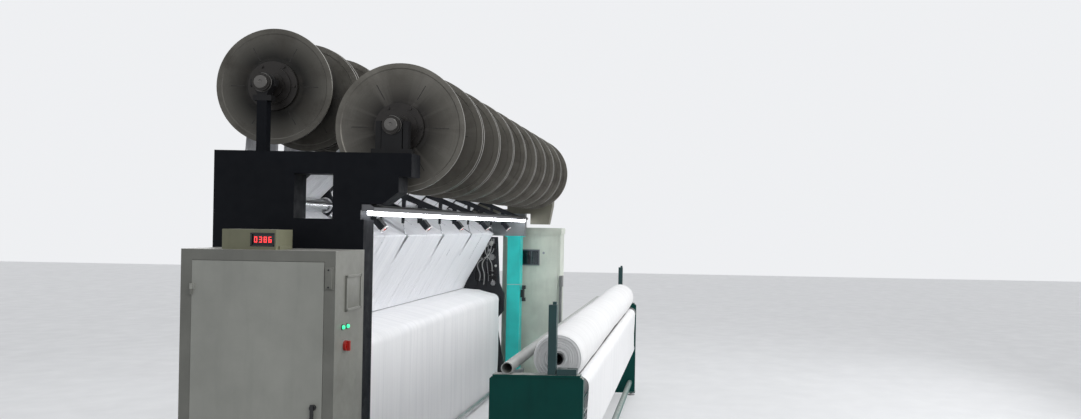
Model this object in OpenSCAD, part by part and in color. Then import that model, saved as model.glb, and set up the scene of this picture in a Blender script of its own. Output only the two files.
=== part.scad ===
// Warp knitting machine with two rows of sectional warp beams and a floor-standing fabric winder.
// X runs along the machine, -Y faces the operator's aisle, +Z is up. All sizes are in millimetres.

/* [Sections] */
// Number of sectional beams in each row
section_count = 9; // [7:2:9]
// Pitch of the sections along the machine
section_pitch = 510; // [500:5:520]
// Width of the wide gaps in the yarn sheets, where arms and levers pass
wide_gap = 64; // [56:2:76]
// Width of the narrow gaps in the yarn sheets
narrow_gap = 12; // [6:1:20]

/* [Warp beams] */
// Flange diameter of the front beams
front_flange_d = 812; // [780:2:820]
// Flange diameter of the back beams
back_flange_d = 724; // [724:2:762]
// Thickness of a flange plate
flange_t = 10; // [8:1:14]
// Radial width of the rolled rim of a flange
rim_w = 36; // [26:1:40]
// Thickness of the rolled rim
rim_t = 16; // [14:1:20]
// Gap between neighbouring beams
beam_gap = 30; // [24:1:36]
// Diameter of a beam's barrel
barrel_d = 260; // [240:2:280]
// Diameter of the yarn wound on the front beams
front_yarn_d = 360; // [320:2:420]
// Diameter of the yarn wound on the back beams
back_yarn_d = 340; // [320:2:380]
// Diameter of the clamping hub at the end of each row
hub_d = 356; // [330:2:370]
// Diameter of the two beam shafts
shaft_d = 90; // [80:2:100]
// Number of yarn-end slots in a flange
slot_count = 6; // [2:1:8]

/* [Beam axes] */
// Place of the front beam axis across the machine
front_axis_y = 30; // [20:1:40]
// Height of the front beam axis
front_axis_z = 2570; // [2560:5:2600]
// Place of the back beam axis across the machine
back_axis_y = 825; // [815:1:835]
// Height of the back beam axis
back_axis_z = 2815; // [2810:1:2830]

/* [Yarn path] */
// Radius of both yarn guide rollers
guide_roller_r = 45; // [40:1:50]
// Radius of both tension rails
rail_r = 10; // [8:1:12]
// Thickness of the yarn sheets and of the fabric web
sheet_t = 3; // [2:0.5:4]
// Clearance between a soft sheet and what it runs over
sheet_gap = 0.4; // [0.3:0.1:1]

/* [Knitting elements] */
// Height of the knitting line
knit_z = 1236; // [1232:1:1240]
// Length of one needle or guide lead
lead_len = 48; // [44:1:50]
// Gap between neighbouring leads
lead_gap = 3; // [2:1:5]
// Full stroke of the needle bar
needle_stroke = 16; // [10:1:18]

/* [Frame] */
// Thickness of the stands along the machine
stand_t = 165; // [150:5:175]
// Distance from the beam row to the inner face of a stand
stand_gap = 80; // [76:1:90]
// Height of the near stand's crossbeam
stand_top_z = 2390; // [2380:5:2410]
// Thickness of the end frames that carry the rollers
end_frame_t = 30; // [26:1:34]
// Height of the far post under its top plate
post_z = 1838; // [1830:1:1846]
// Side of the square far post
post_w = 150; // [130:5:160]

/* [Winder] */
// Diameter of the fabric roll
cloth_roll_d = 320; // [280:5:340]
// Radius of the winder's drive rollers
drive_roller_r = 60; // [50:1:64]
// Spacing of the two drive rollers
drive_spacing = 240; // [220:5:260]
// Height of the drive rollers' axes
drive_axis_z = 973; // [960:1:985]
// Thickness of a winder side panel
panel_t = 60; // [50:2:70]
// Bore of the roll's tube
tube_bore_d = 58; // [50:1:76]

/* [Cabinets] */
// Width of the near electrical cabinet
near_cab_w = 850; // [800:10:900]
// Height of the near electrical cabinet
near_cab_h = 1810; // [1750:10:1850]
// Depth of the far control cabinet
far_cab_depth = 300; // [280:5:320]
// Width of the far control cabinet
far_cab_w = 690; // [640:10:720]
// Height of the far control cabinet
far_cab_h = 1880; // [1840:5:1900]

/* [Hidden] */
$fn = 64;
running = 0.05;
row_len = section_count * section_pitch;
row_x = -row_len / 2;
beam_len = section_pitch - beam_gap;
winding_inset = flange_t + 14;
end_x = 2986;
shaft_r = shaft_d / 2;
stand_in_x = row_len / 2 + stand_gap;
stand_out_x = stand_in_x + stand_t;
far_stand_x = stand_in_x + 25;
far_stand_t = 125;
far_beam_top = 2112;
bearing_len = 56;
near_bearing_x = stand_in_x + 30;
bearing_mid_x = stand_in_x + 62;
bearing_drop = front_axis_z - stand_top_z;
bearing_r = 62;
post_drop = 110;
shaft_nose = stand_in_x + 82;
seat_clear = 0.2;
drive_box_len = 180;
drive_start_x = far_stand_x + far_stand_t + 8;

lead_pitch = lead_len + lead_gap;
lead_count = floor(row_len / lead_pitch);
lead_x = -lead_count * lead_pitch / 2 + lead_gap / 2;
wide_gaps = [for (k = [1 : 2 : section_count - 2]) row_x + k * section_pitch];
lever_end_x = row_len / 2 + 24;
lever_x = concat([-lever_end_x], wide_gaps, [lever_end_x]);
lever_t = 24;
arm_t = 16;
arm_x = concat(wide_gaps, [row_len / 2 + arm_t]);

front_roller = [700, 2085];
back_roller = [975, 2060];
front_rail = [477, 1872];
front_spring_root = [500, 1972];
back_spring_root = [726, 1960];
back_rail = [672, 1810];
front_sheet_end = [763, 1330];
back_sheet_end = [820, 1330];
roller_half = stand_in_x - 12;
roller_journal_r = 18;
journal_depth = 30;

traverse_y = 780;
traverse_z = 2180;
traverse_w = 120;
traverse_h = 150;

light_y = 130;
light_z = 2036;
light_w = 76;
light_h = 44;

end_frame_x = row_len / 2 + 50;
rib_t = 30;
rib_x = [for (k = [1 : 2 : section_count - 2]) row_x + (k + 0.5) * section_pitch];
bed_y = 620;
bed_w = 510;
bed_z = 430;
bed_h = 470;
bed_wall = 20;
bed_top_z = bed_z + bed_h;
front_rib_y = 722;
front_rib_w = 56;
back_rib_y = 940;
back_rib_w = 150;
back_rib_top = 1620;
knit_y = 805;

swing_axis = [1020, 1560];
swing_r = 25;
front_carrier = [768, 1425];
back_carrier = [842, 1425];
carrier_r = 12;
guide_bar_w = 16;
guide_bar_h = 60;
guide_tip_drop = 72;
shog_travel = 12;

needle_bar_y = 800;
needle_bar_w = 28;
needle_bar_z = 1090;
needle_bar_h = 80;
needle_t = 6;
slider_bar_y = 842;
slider_bar_w = 24;
slider_drop = 14;
rod_r = 12;
sinker_y = 884;
sinker_w = 40;
sinker_z = 1200;
sinker_h = 36;
sinker_rod_r = 9;
sinker_reach = 14;

main_axis = [980, 700];
main_shaft_r = 35;
eccentric_r = 80;
main_pulley_r = 180;
motor_axis = [980, 300];
motor_pulley_r = 80;
pulley_w = 60;
pulley_x = far_stand_x + far_stand_t + 15;
belt_t = 10;

rear_take_up = [640, 1160];
rear_take_up_r = 65;
front_take_up = [465, 1110];
front_take_up_r = 72;
machine_idler = [362, 120];
base_idler = [-800, 120];
front_idler = [-1148, 560];
idler_r = 28;

panel_y = -1182;
panel_w = 560;
panel_h = 1070;
winder_half = row_len / 2 + 200;
roll_half = row_len / 2 + 105;
cloth_roll_r = cloth_roll_d / 2;
roll_contact = 0.3;
drive_centre_gap = drive_roller_r + cloth_roll_r + roll_contact;
roll_y = -1003;
roll_z = drive_axis_z + sqrt(pow(drive_centre_gap, 2) - pow(drive_spacing / 2, 2));
winder_post_y = -991;
winder_post_w = 48;
winder_post_top = 1520;
panel_cap_t = 14;
rear_tube_r = 36;
rear_tube = [-725, panel_h + panel_cap_t + rear_tube_r];

handle_reach = 26.3;
near_cab_x = handle_reach - end_x;
near_cab_depth = -stand_out_x - near_cab_x;
near_cab_y = 142;
far_cab_x = end_x - far_cab_depth;
far_cab_y = -250;
far_door_w = 476;
switch_dx = 270;
switch_z = 1273;
near_hinge_y = near_cab_y + near_cab_w - 61;
near_hinge_z = [320, near_cab_h - 250];
far_hinge_y = far_cab_y + 27 + far_door_w;
far_hinge_z = [320, far_cab_h - 240];
door_hinge_r = 7;
door_pin_r = 3.5;
foot_r = 40;
foot_h = 30;
bed_feet_x = [-row_len / 2 + 60, -row_len / 6, row_len / 6, row_len / 2 - 60];

// Places a profile drawn in (Y, Z) so that it runs along X from x0 over len
module along_x(x0, len) {
    translate([x0, 0, 0]) rotate([90, 0, 90]) linear_extrude(height = len) children();
}

// A round bar along X with its axis at [y, z]
module bar_x(at, r, x0, x1) {
    translate([x0, at[0], at[1]]) rotate([0, 90, 0]) cylinder(r = r, h = x1 - x0);
}

// A block from its lowest corner and its size
module block(x, y, z, dx, dy, dz) {
    translate([x, y, z]) cube([dx, dy, dz]);
}

// Unit vector and its left normal at an angle
function dir(a) = [cos(a), sin(a)];
function left(a) = [-sin(a), cos(a)];
function sweep(from, to, side) =
    side > 0 ? (to - from + 720) % 360 : -((from - to + 720) % 360);

// Heading of the straight run from one wrapped circle [centre, radius, side] to the next.
// A side of +1 has the circle's centre on the left of the run, and -1 on the right.
function heading(a, b) =
    let (d = b[0] - a[0])
    atan2(d[1], d[0]) - asin((b[2] * b[1] - a[2] * a[1]) / norm(d));

// The same circles for a line that lies off to the left of the run
function offset_wrap(wraps, off) = [for (w = wraps) [w[0], w[1] - w[2] * off, w[2]]];

// Points of a band's edge that runs over all circles, from the first tangent to the last
function band_edge(wraps) =
    let (last = len(wraps) - 1)
    let (h = [for (i = [0 : last - 1]) heading(wraps[i], wraps[i + 1])])
    [for (i = [0 : last])
        let (a0 = i == 0 ? h[0] : h[i - 1], a1 = i == last ? h[last - 1] : h[i])
        let (turn = (i == 0 || i == last || wraps[i][1] == 0) ? 0 : sweep(a0, a1, wraps[i][2]))
        let (steps = turn == 0 ? 0 : ceil(abs(turn) / 12))
        for (s = [0 : steps])
            let (a = a0 + (steps == 0 ? 0 : turn * s / steps))
            wraps[i][0] - wraps[i][2] * wraps[i][1] * left(a)];

// Closed outline of a band of even thickness over the circles
function reversed(v) = [for (i = [len(v) - 1 : -1 : 0]) v[i]];
function band(wraps, t) =
    concat(band_edge(offset_wrap(wraps, t / 2)), reversed(band_edge(offset_wrap(wraps, -t / 2))));

// Circle that a sheet runs over, at the sheet's middle line
function over(at, r, side) = [at, r + sheet_gap + sheet_t / 2, side];

front_sheet_path = [
    over([front_axis_y, front_axis_z], front_yarn_d / 2, -1),
    over(front_roller, guide_roller_r, -1),
    over(front_rail, rail_r, 1),
    [front_sheet_end, 0, 1]
];
back_sheet_path = [
    over([back_axis_y, back_axis_z], back_yarn_d / 2, -1),
    over(back_roller, guide_roller_r, -1),
    over(back_rail, rail_r, 1),
    [back_sheet_end, 0, 1]
];
drive_front = [roll_y - drive_spacing / 2, drive_axis_z];
drive_rear = [roll_y + drive_spacing / 2, drive_axis_z];
fabric_path = [
    [[knit_y, knit_z], 0, 1],
    over(rear_take_up, rear_take_up_r, 1),
    over(front_take_up, front_take_up_r, 1),
    over(machine_idler, idler_r, -1),
    over(base_idler, idler_r, -1),
    over(front_idler, idler_r, -1),
    over(drive_front, drive_roller_r, -1),
    [[drive_front[0] + 6, drive_front[1] + drive_roller_r + sheet_gap + sheet_t / 2], 0, -1]
];

// Edge of section k: half a gap stays free at each side
function gap_at(k) = (k % 2 == 1) ? wide_gap : narrow_gap;
function strip_x0(k) = row_x + k * section_pitch + gap_at(k) / 2;
function strip_x1(k) = row_x + (k + 1) * section_pitch - gap_at(k + 1) / 2;

// One section's sheet over the whole path, narrowed to the winding's width until it clears the flanges
module yarn_section(path, clear, x0, x1, wide_x0, wide_x1) {
    a = heading(path[0], path[1]);
    from = path[0][0] - path[0][2] * path[0][1] * left(a);
    to = path[1][0] - path[1][2] * path[1][1] * left(a);
    run = norm(to - from);
    difference() {
        along_x(wide_x0, wide_x1 - wide_x0) polygon(band(path, sheet_t));
        translate([0, from[0], from[1]]) rotate([a, 0, 0]) translate([0, 0, -4 * sheet_t])
            linear_extrude(height = 8 * sheet_t) {
                polygon([[wide_x0 - 5, -5], [x0, -5], [x0, clear], [wide_x0 - 5, run - 20]]);
                polygon([[wide_x1 + 5, -5], [x1, -5], [x1, clear], [wide_x1 + 5, run - 20]]);
            }
    }
}

module yarn_sheet(path, flange_d) {
    clear = sqrt(pow(flange_d / 2, 2) - pow(path[0][1], 2)) + 12;
    inset = beam_gap / 2 + winding_inset + 2;
    for (k = [0 : section_count - 1])
        yarn_section(path, clear, row_x + k * section_pitch + inset,
            row_x + (k + 1) * section_pitch - inset, strip_x0(k), strip_x1(k));
}

// Flange of a sectional beam: dished disc with a rolled rim, a short hub and yarn-end slots
module beam_flange(flange_d) {
    fr = flange_d / 2;
    br = barrel_d / 2;
    bore = shaft_r + seat_clear;
    difference() {
        rotate_extrude($fn = 96) polygon([
            [bore, 0], [hub_d / 2 - 20, 0], [hub_d / 2, flange_t * 0.4],
            [fr - rim_w, flange_t * 0.4], [fr - rim_w + 6, 0], [fr, 0],
            [fr, rim_t], [fr - rim_w, rim_t], [fr - rim_w - 6, flange_t], [br + 14, flange_t],
            [br, winding_inset], [bore, winding_inset]
        ]);
        for (i = [0 : slot_count - 1])
            rotate([0, 0, 90 + i * 360 / slot_count])
                translate([fr * 0.5, -2.5, -1]) cube([fr * 0.26, 5, rim_t + 2]);
    }
}

// One sectional beam: a barrel between two flanges
module sectional_beam(flange_d) {
    beam_flange(flange_d);
    translate([0, 0, winding_inset]) difference() {
        cylinder(r = barrel_d / 2, h = beam_len - 2 * winding_inset, $fn = 96);
        translate([0, 0, -1])
            cylinder(r = shaft_r + seat_clear, h = beam_len - 2 * winding_inset + 2, $fn = 96);
    }
    translate([0, 0, beam_len]) mirror([0, 0, 1]) beam_flange(flange_d);
}

// A row of sectional beams on one axis
module beam_row(at, flange_d) {
    for (k = [0 : section_count - 1])
        translate([row_x + k * section_pitch + beam_gap / 2, at[0], at[1]])
            rotate([0, 90, 0]) rotate([0, 0, k * 47]) sectional_beam(flange_d);
}

// The yarn wound on each beam of a row
module winding_row(at, yarn_d) {
    inner = winding_inset + seat_clear;
    core = barrel_d / 2 + seat_clear;
    for (k = [0 : section_count - 1])
        translate([row_x + k * section_pitch + beam_gap / 2, at[0], at[1]])
            rotate([0, 90, 0]) rotate_extrude($fn = 96) polygon([
                [core, inner], [yarn_d / 2 - 2, inner], [yarn_d / 2, inner + 2],
                [yarn_d / 2, beam_len - inner - 2], [yarn_d / 2 - 2, beam_len - inner],
                [core, beam_len - inner]
            ]);
}

// Clamping hub of a row: stepped disc with a collar and bolts, bored for the shaft
module clamping_hub(at, x0, sense) {
    difference() {
        union() {
            bar_x(at, hub_d / 2 - 24, min(x0, x0 + sense * 22), max(x0, x0 + sense * 22));
            bar_x(at, hub_d / 2 - 62, min(x0, x0 + sense * 30), max(x0, x0 + sense * 30));
            bar_x(at, shaft_r + 32, min(x0, x0 + sense * 48), max(x0, x0 + sense * 48));
            for (i = [0 : 5])
                translate([sense < 0 ? x0 - 30 : x0 + 21, at[0], at[1]]) rotate([0, 90, 0])
                    rotate([0, 0, i * 60 + 30]) translate([hub_d / 2 - 42, 0, 0]) cylinder(r = 9, h = 9);
        }
        bar_x(at, shaft_r + seat_clear, x0 - 60, x0 + 60);
    }
}

// Shaft of a row with a clamping hub at each end and two lock rings on its near nose
module beam_shaft(at) {
    hub_x = row_x + beam_gap / 2;
    bar_x(at, shaft_r, -shaft_nose, drive_start_x + drive_box_len / 2);
    clamping_hub(at, hub_x, -1);
    clamping_hub(at, -hub_x, 1);
    for (x = [-shaft_nose + 4, -shaft_nose + 13])
        difference() {
            bar_x(at, shaft_r + 10, x, x + 6);
            bar_x(at, shaft_r + seat_clear, x - 1, x + 7);
        }
}

module front_beam_shaft() {
    color("#3b3b3d") beam_shaft([front_axis_y, front_axis_z]);
}

module back_beam_shaft() {
    color("#3b3b3d") beam_shaft([back_axis_y, back_axis_z]);
}

module front_warp_beams() {
    color("#8d8a80") beam_row([front_axis_y, front_axis_z], front_flange_d);
}

module back_warp_beams() {
    color("#8d8a80") beam_row([back_axis_y, back_axis_z], back_flange_d);
}

module front_yarn_windings() {
    color("#eeeeee") winding_row([front_axis_y, front_axis_z], front_yarn_d);
}

module back_yarn_windings() {
    color("#eeeeee") winding_row([back_axis_y, back_axis_z], back_yarn_d);
}

// Split housing of one beam bearing on a seat below the axis, between two uprights where there is room
module beam_bearing(at, x_mid, drop, foot_half) {
    x0 = x_mid - bearing_len / 2;
    foot_t = 34;
    difference() {
        union() {
            along_x(x0, bearing_len) {
                translate(at) circle(r = bearing_r);
                polygon([
                    [at[0] - bearing_r, at[1]], [at[0] - foot_half * 0.5, at[1] - drop + foot_t],
                    [at[0] - foot_half, at[1] - drop + foot_t], [at[0] - foot_half, at[1] - drop],
                    [at[0] + foot_half, at[1] - drop], [at[0] + foot_half, at[1] - drop + foot_t],
                    [at[0] + foot_half * 0.5, at[1] - drop + foot_t], [at[0] + bearing_r, at[1]]
                ]);
            }
            if (foot_half > bearing_r + 40)
                for (side = [-1, 1])
                    block(x0 + 6, at[0] + side * (bearing_r + 22) - 17, at[1] - drop + foot_t - 1,
                        bearing_len - 12, 34, drop - foot_t + 26);
            along_x(x0 + 10, bearing_len - 20) for (side = [-1, 1])
                translate([at[0] + side * (bearing_r + 2) - 12, at[1] - 20]) square([24, 40]);
        }
        bar_x(at, shaft_r + running, x0 - 1, x0 + bearing_len + 1);
        for (side = [-1, 1])
            block(x0 - 1, at[0] + side * (bearing_r - 4) - 8, at[1] - 1, bearing_len + 2, 16, 2);
    }
}

module beam_bearings() {
    color("#2a2c2e") {
        beam_bearing([front_axis_y, front_axis_z], -near_bearing_x, bearing_drop, 125);
        beam_bearing([back_axis_y, back_axis_z], -near_bearing_x, post_drop, 56);
        beam_bearing([front_axis_y, front_axis_z], bearing_mid_x, bearing_drop, 125);
        beam_bearing([back_axis_y, back_axis_z], bearing_mid_x, bearing_drop, 125);
    }
}

// Worm gearbox and motor that pay out one row
module beam_drive(at) {
    x0 = drive_start_x;
    difference() {
        union() {
            along_x(x0, drive_box_len) difference() {
                translate([at[0] - 120, at[1] - 130]) square([240, 250]);
                for (c = [[-120, -130], [120, -130], [-120, 120], [120, 120]])
                    translate([at[0] + c[0], at[1] + c[1]]) rotate([0, 0, 45])
                        square([50, 50], center = true);
            }
            bar_x(at, 92, x0 + drive_box_len, x0 + drive_box_len + 12);
            translate([x0 + drive_box_len / 2, at[0] + 119, at[1] - 62]) rotate([-90, 0, 0])
                cylinder(r = 62, h = 150);
            for (i = [0 : 5])
                translate([x0 + drive_box_len / 2, at[0] + 150 + i * 20, at[1] - 62])
                    rotate([-90, 0, 0]) cylinder(r = 70, h = 8);
        }
        bar_x(at, shaft_r + running, x0 - 1, x0 + drive_box_len - 20);
    }
}

module beam_drives() {
    color("#3f4f5a") {
        beam_drive([front_axis_y, front_axis_z]);
        beam_drive([back_axis_y, back_axis_z]);
    }
}

// Fabricated near stand: two legs, crossbeam, a window, and seats for both rows
module near_stand() {
    front_seat = front_axis_z - bearing_drop;
    x_in = -stand_in_x;
    color("#15181d") along_x(-near_bearing_x - bearing_len / 2, bearing_len)
        translate([back_axis_y - 30, stand_top_z]) square([60, back_axis_z - post_drop - stand_top_z]);
    color("#15181d") difference() {
        along_x(-stand_out_x, stand_t) difference() {
            polygon([
                [150, 0], [330, 0], [330, 1240], [570, 1240], [570, 0], [1050, 0],
                [1050, stand_top_z], [front_axis_y - 160, front_seat],
                [front_axis_y - 160, front_seat - 140], [-55, front_seat - 140],
                [-55, front_seat - 232], [40, 2084], [170, 2084], [170, 1990], [150, 1990]
            ]);
            translate([338, 1990]) square([232, 270]);
        }
        for (at = [front_roller, back_roller])
            bar_x(at, roller_journal_r + running, x_in - journal_depth - 2, x_in + 1);
        along_x(x_in - 40, 41) translate([traverse_y - 0.2, traverse_z - 0.2])
            square([traverse_w + 0.4, traverse_h + 0.4]);
        along_x(-stand_out_x + 12, stand_t - 24) {
            translate([166, 60]) square([148, 1120]);
            translate([586, 60]) square([448, 1120]);
        }
    }
}

// Far stand: rear leg with a crossbeam that rests on the front post
module far_stand() {
    color("#8f979c") difference() {
        along_x(far_stand_x, far_stand_t) polygon([
            [130, 1850], [800, 1850], [800, 296], [130, 296], [130, 0], [1050, 0],
            [1050, far_beam_top], [130, far_beam_top]
        ]);
        for (at = [front_roller, back_roller])
            bar_x(at, roller_journal_r + running, far_stand_x - 1, far_stand_x + journal_depth);
        bar_x(main_axis, main_shaft_r + running, far_stand_x - 1, far_stand_x + far_stand_t + 1);
    }
}

module far_front_post() {
    post_x = far_stand_x;
    color("#2fb7ab") {
        difference() {
            block(post_x, 175, 296, post_w, post_w, post_z - 296);
            block(post_x + 6, 181, 302, post_w - 12, post_w - 12, post_z - 308);
        }
        block(post_x - 12, 150, post_z, post_w + 24, 200, 1850 - post_z);
    }
}

// Cream bracket that carries both far bearings on the crossbeam
module far_beam_bracket() {
    back_seat = back_axis_z - bearing_drop;
    front_seat = front_axis_z - bearing_drop;
    color("#b9bba6") difference() {
        along_x(bearing_mid_x - 60, 140) difference() {
            polygon([
                [60, far_beam_top], [1050, far_beam_top], [1050, 2300], [990, back_seat],
                [back_axis_y - 130, back_seat], [640, front_seat], [front_axis_y - 150, front_seat],
                [front_axis_y - 230, front_seat - 60], [front_axis_y - 220, 2200], [-150, 1990],
                [60, 1990]
            ]);
            translate([330, 2160]) square([220, 170]);
        }
        along_x(bearing_mid_x - 61, 24) translate([traverse_y - 0.2, traverse_z - 0.2])
            square([traverse_w + 0.4, traverse_h + 0.4]);
    }
}

// Traverse between the stands, with slim dark arms that reach forward through the wide gaps of the sheets
module arm_traverse() {
    wall = 8;
    x0 = -stand_in_x - 40;
    x1 = bearing_mid_x - 37;
    color("#1d2024") {
        difference() {
            block(x0, traverse_y, traverse_z, x1 - x0, traverse_w, traverse_h);
            block(x0 - 1, traverse_y + wall, traverse_z + wall, x1 - x0 + 2, traverse_w - 2 * wall,
                traverse_h - 2 * wall);
        }
        for (x = arm_x) along_x(x - arm_t / 2, arm_t) arm_profile();
    }
}

// Bar from the traverse down to the light channel, with a drop link for the front rail's spring and a
// plate round the two guide rollers
module arm_profile() {
    clear_r = guide_roller_r + sheet_gap + sheet_t + 6;
    channel_y = light_y + light_w / 2;
    top = [traverse_y, traverse_z + traverse_h];
    difference() {
        union() {
            polygon([
                top, [traverse_y, traverse_z + traverse_h - 62], [channel_y, light_z + 4],
                [channel_y, light_z + light_h]
            ]);
            polygon([[478, 2190], [512, 2190], [512, front_spring_root[1]], [494, front_spring_root[1]]]);
            polygon([
                [traverse_y, traverse_z + traverse_h - 30], [traverse_y, traverse_z], [1000, traverse_z],
                [1046, 2060], [1008, 1994], [746, back_spring_root[1]], [720, back_spring_root[1]],
                [636, 2060], [640, 2110], [700, 2270]
            ]);
        }
        translate(front_roller) circle(r = clear_r);
        translate(back_roller) circle(r = clear_r);
        translate([traverse_y - seat_clear, traverse_z - seat_clear])
            square([traverse_w + 2 * seat_clear, traverse_h + 2 * seat_clear]);
    }
}

// Levelling feet under the bed, the stands and the winder
module levelling_foot(x, y, top = foot_h) {
    translate([x, y, 0]) {
        cylinder(r = foot_r, h = 12);
        cylinder(r = 14, h = top);
    }
}

module levelling_feet() {
    color("#50545a") {
        for (x = bed_feet_x, y = [bed_y + 60, bed_y + bed_w - 60]) levelling_foot(x, y);
        for (x = [-winder_half - panel_t / 2, winder_half + panel_t / 2],
             y = [panel_y + foot_r, panel_y + panel_w - foot_r]) levelling_foot(x, y);
    }
}

// Bed: closed box for the main shaft, pedestals, and ribs that carry the knitting elements
module machine_bed() {
    half = end_frame_x;
    color("#2b8f84") difference() {
        union() {
            block(-half, bed_y, bed_z, 2 * half, bed_w, bed_h);
            for (x = bed_feet_x)
                along_x(x - 70, 140) polygon([
                    [bed_y + 20, foot_h], [bed_y + bed_w - 20, foot_h], [bed_y + bed_w - 20, bed_z],
                    [bed_y + 20, bed_z]
                ]);
            for (x = rib_x)
                along_x(x - rib_t / 2, rib_t) {
                    translate([front_rib_y, bed_top_z]) square([front_rib_w, knit_z - 66 - bed_top_z]);
                    polygon([
                        [back_rib_y, bed_top_z], [back_rib_y + back_rib_w + 30, bed_top_z],
                        [back_rib_y + back_rib_w, back_rib_top], [back_rib_y + 20, back_rib_top],
                        [back_rib_y, sinker_z + 60]
                    ]);
                }
        }
        block(-half + bed_wall, bed_y + bed_wall, bed_z + bed_wall, 2 * (half - bed_wall),
            bed_w - 2 * bed_wall, bed_h - 2 * bed_wall);
        bar_x(main_axis, main_shaft_r + running, -half - 1, half + 1);
        for (x = rib_x) {
            bar_x(swing_axis, swing_r + running, x - rib_t, x + rib_t);
            translate([x, back_rib_y - 10, sinker_z + sinker_h / 2]) rotate([-90, 0, 0])
                cylinder(r = sinker_rod_r + running, h = 110);
            translate([x + 90, needle_bar_y + needle_bar_w / 2, bed_top_z - bed_wall - 1])
                cylinder(r = rod_r + running, h = bed_wall + 2);
            translate([x + 180, slider_bar_y + slider_bar_w / 2, bed_top_z - bed_wall - 1])
                cylinder(r = rod_r + running, h = bed_wall + 2);
        }
    }
}

// Two dark end frames that carry the take-up rollers, idler and hanger shaft
module end_frames() {
    color("#202327") for (side = [-1, 1]) {
        x0 = side < 0 ? -end_frame_x - end_frame_t : end_frame_x;
        difference() {
            along_x(x0, end_frame_t) difference() {
                polygon([
                    [320, 60], [430, 60], [560, 430], [1130, 430], [1130, 1640], [900, 1640],
                    [700, 1835], [430, 1835], [400, 1300], [345, 1180], [345, 980], [430, 880], [320, 260]
                ]);
                translate([560, 1330]) square([120, 260]);
            }
            bar_x(machine_idler, roller_journal_r + running, x0 - 1, x0 + end_frame_t + 1);
            bar_x(rear_take_up, roller_journal_r + running, x0 - 1, x0 + end_frame_t + 1);
            bar_x(front_take_up, roller_journal_r + running, x0 - 1, x0 + end_frame_t + 1);
            bar_x(swing_axis, swing_r + running, x0 - 1, x0 + end_frame_t + 1);
            bar_x(main_axis, main_shaft_r + running, x0 - 1, x0 + end_frame_t + 1);
        }
    }
}

// Roller with a journal at each end
module roller(at, r, half, journal) {
    bar_x(at, r, -half, half);
    bar_x(at, roller_journal_r, -half - journal, half + journal);
}

module front_guide_roller() {
    color("#c9ccd0") guide_roller(front_roller);
}

module back_guide_roller() {
    color("#c9ccd0") guide_roller(back_roller);
}

// Guide roller between the near stand and the far stand
module guide_roller(at) {
    bar_x(at, guide_roller_r, -roller_half, roller_half);
    bar_x(at, roller_journal_r, -stand_in_x - journal_depth, stand_in_x + 25 + journal_depth - 4);
}

// Sprung rail: a polished bar held on leaf springs below the arms
module tension_rail(at, root) {
    bar_x(at, rail_r, -row_len / 2 - 20, row_len / 2 + 30);
    for (x = arm_x)
        along_x(x - arm_t / 2, arm_t) {
            polygon([
                root, [root[0] + 3, root[1]], [at[0] + 4, at[1] + rail_r - 4], [at[0] - 1, at[1] + rail_r - 4]
            ]);
        }
}

module front_tension_rail() {
    color("#b8bcc0") tension_rail(front_rail, front_spring_root - [0, 0.4]);
}

module back_tension_rail() {
    color("#b8bcc0") tension_rail(back_rail, back_spring_root - [0, 0.4]);
}

module front_yarn_sheet() {
    color("#f4f4f4") yarn_sheet(front_sheet_path, front_flange_d);
}

module back_yarn_sheet() {
    color("#ececec") yarn_sheet(back_sheet_path, back_flange_d);
}

module light_channel() {
    x0 = -stand_out_x + 10;
    x1 = stand_in_x + 25;
    color("#77797d") difference() {
        along_x(x0, x1 - x0) polygon([
            [light_y - light_w / 2, light_z + 6], [light_y + light_w / 2, light_z + 6],
            [light_y + light_w / 2, light_z + light_h], [light_y - 14, light_z + light_h],
            [light_y - light_w / 2, light_z + light_h - 16]
        ]);
        along_x(x0 + 20, x1 - x0 - 40) translate([light_y, light_z + 6]) square([52, 12], center = true);
    }
}

module light_tube() {
    color("#ffffff") bar_x([light_y, light_z - 9], 12, -stand_out_x + 34, stand_in_x + 1);
    color("#ffffff") for (x = [-stand_out_x + 34, stand_in_x - 29])
        block(x, light_y - 12, light_z - 12, 30, 24, 23.9);
}

// Yarn watching heads beside the arms, each a hooded box with a round lens
module sensor_heads() {
    color("#3a3c40") for (x = arm_x) {
        hx = x + arm_t / 2;
        difference() {
            union() {
                block(hx, 350, 1975, 6, 40, 171);
                translate([hx + 39, 355, 1985]) rotate([-40, 0, 0]) {
                    block(-36, -22, -60, 72, 44, 66);
                    translate([0, 0, -78]) cylinder(r1 = 34, r2 = 26, h = 20);
                }
            }
            translate([hx + 39, 355, 1985]) rotate([-40, 0, 0]) translate([0, 0, -79])
                cylinder(r = 22, h = 8);
        }
    }
}

// Swing shaft with levers that end in split bearings for both guide bars
module hanger_lever() {
    reach = front_carrier - swing_axis;
    difference() {
        union() {
            translate(swing_axis) circle(r = 48);
            translate(swing_axis) rotate([0, 0, atan2(reach[1], reach[0])])
                translate([0, -20]) square([norm(reach), 40]);
            translate(front_carrier) circle(r = 24);
            translate(back_carrier) circle(r = 26);
        }
        translate(swing_axis) circle(r = swing_r + running);
        for (c = [front_carrier, back_carrier]) {
            translate(c) circle(r = carrier_r + running);
            translate([c[0] - guide_bar_w / 2 - 0.4, c[1] - 40]) square([guide_bar_w + 0.8, 40]);
        }
    }
}

module guide_hanger() {
    color("#4a4d52") {
        bar_x(swing_axis, swing_r, -end_frame_x - end_frame_t + 1, end_frame_x + end_frame_t);
        for (x = lever_x) along_x(x - lever_t / 2, lever_t) hanger_lever();
    }
}

// A row of leads, drawn in (Y, Z) and repeated along X
module leads(first = 0) {
    for (i = [first : lead_count - 1])
        along_x(lead_x + i * lead_pitch, lead_len) children();
}

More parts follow.
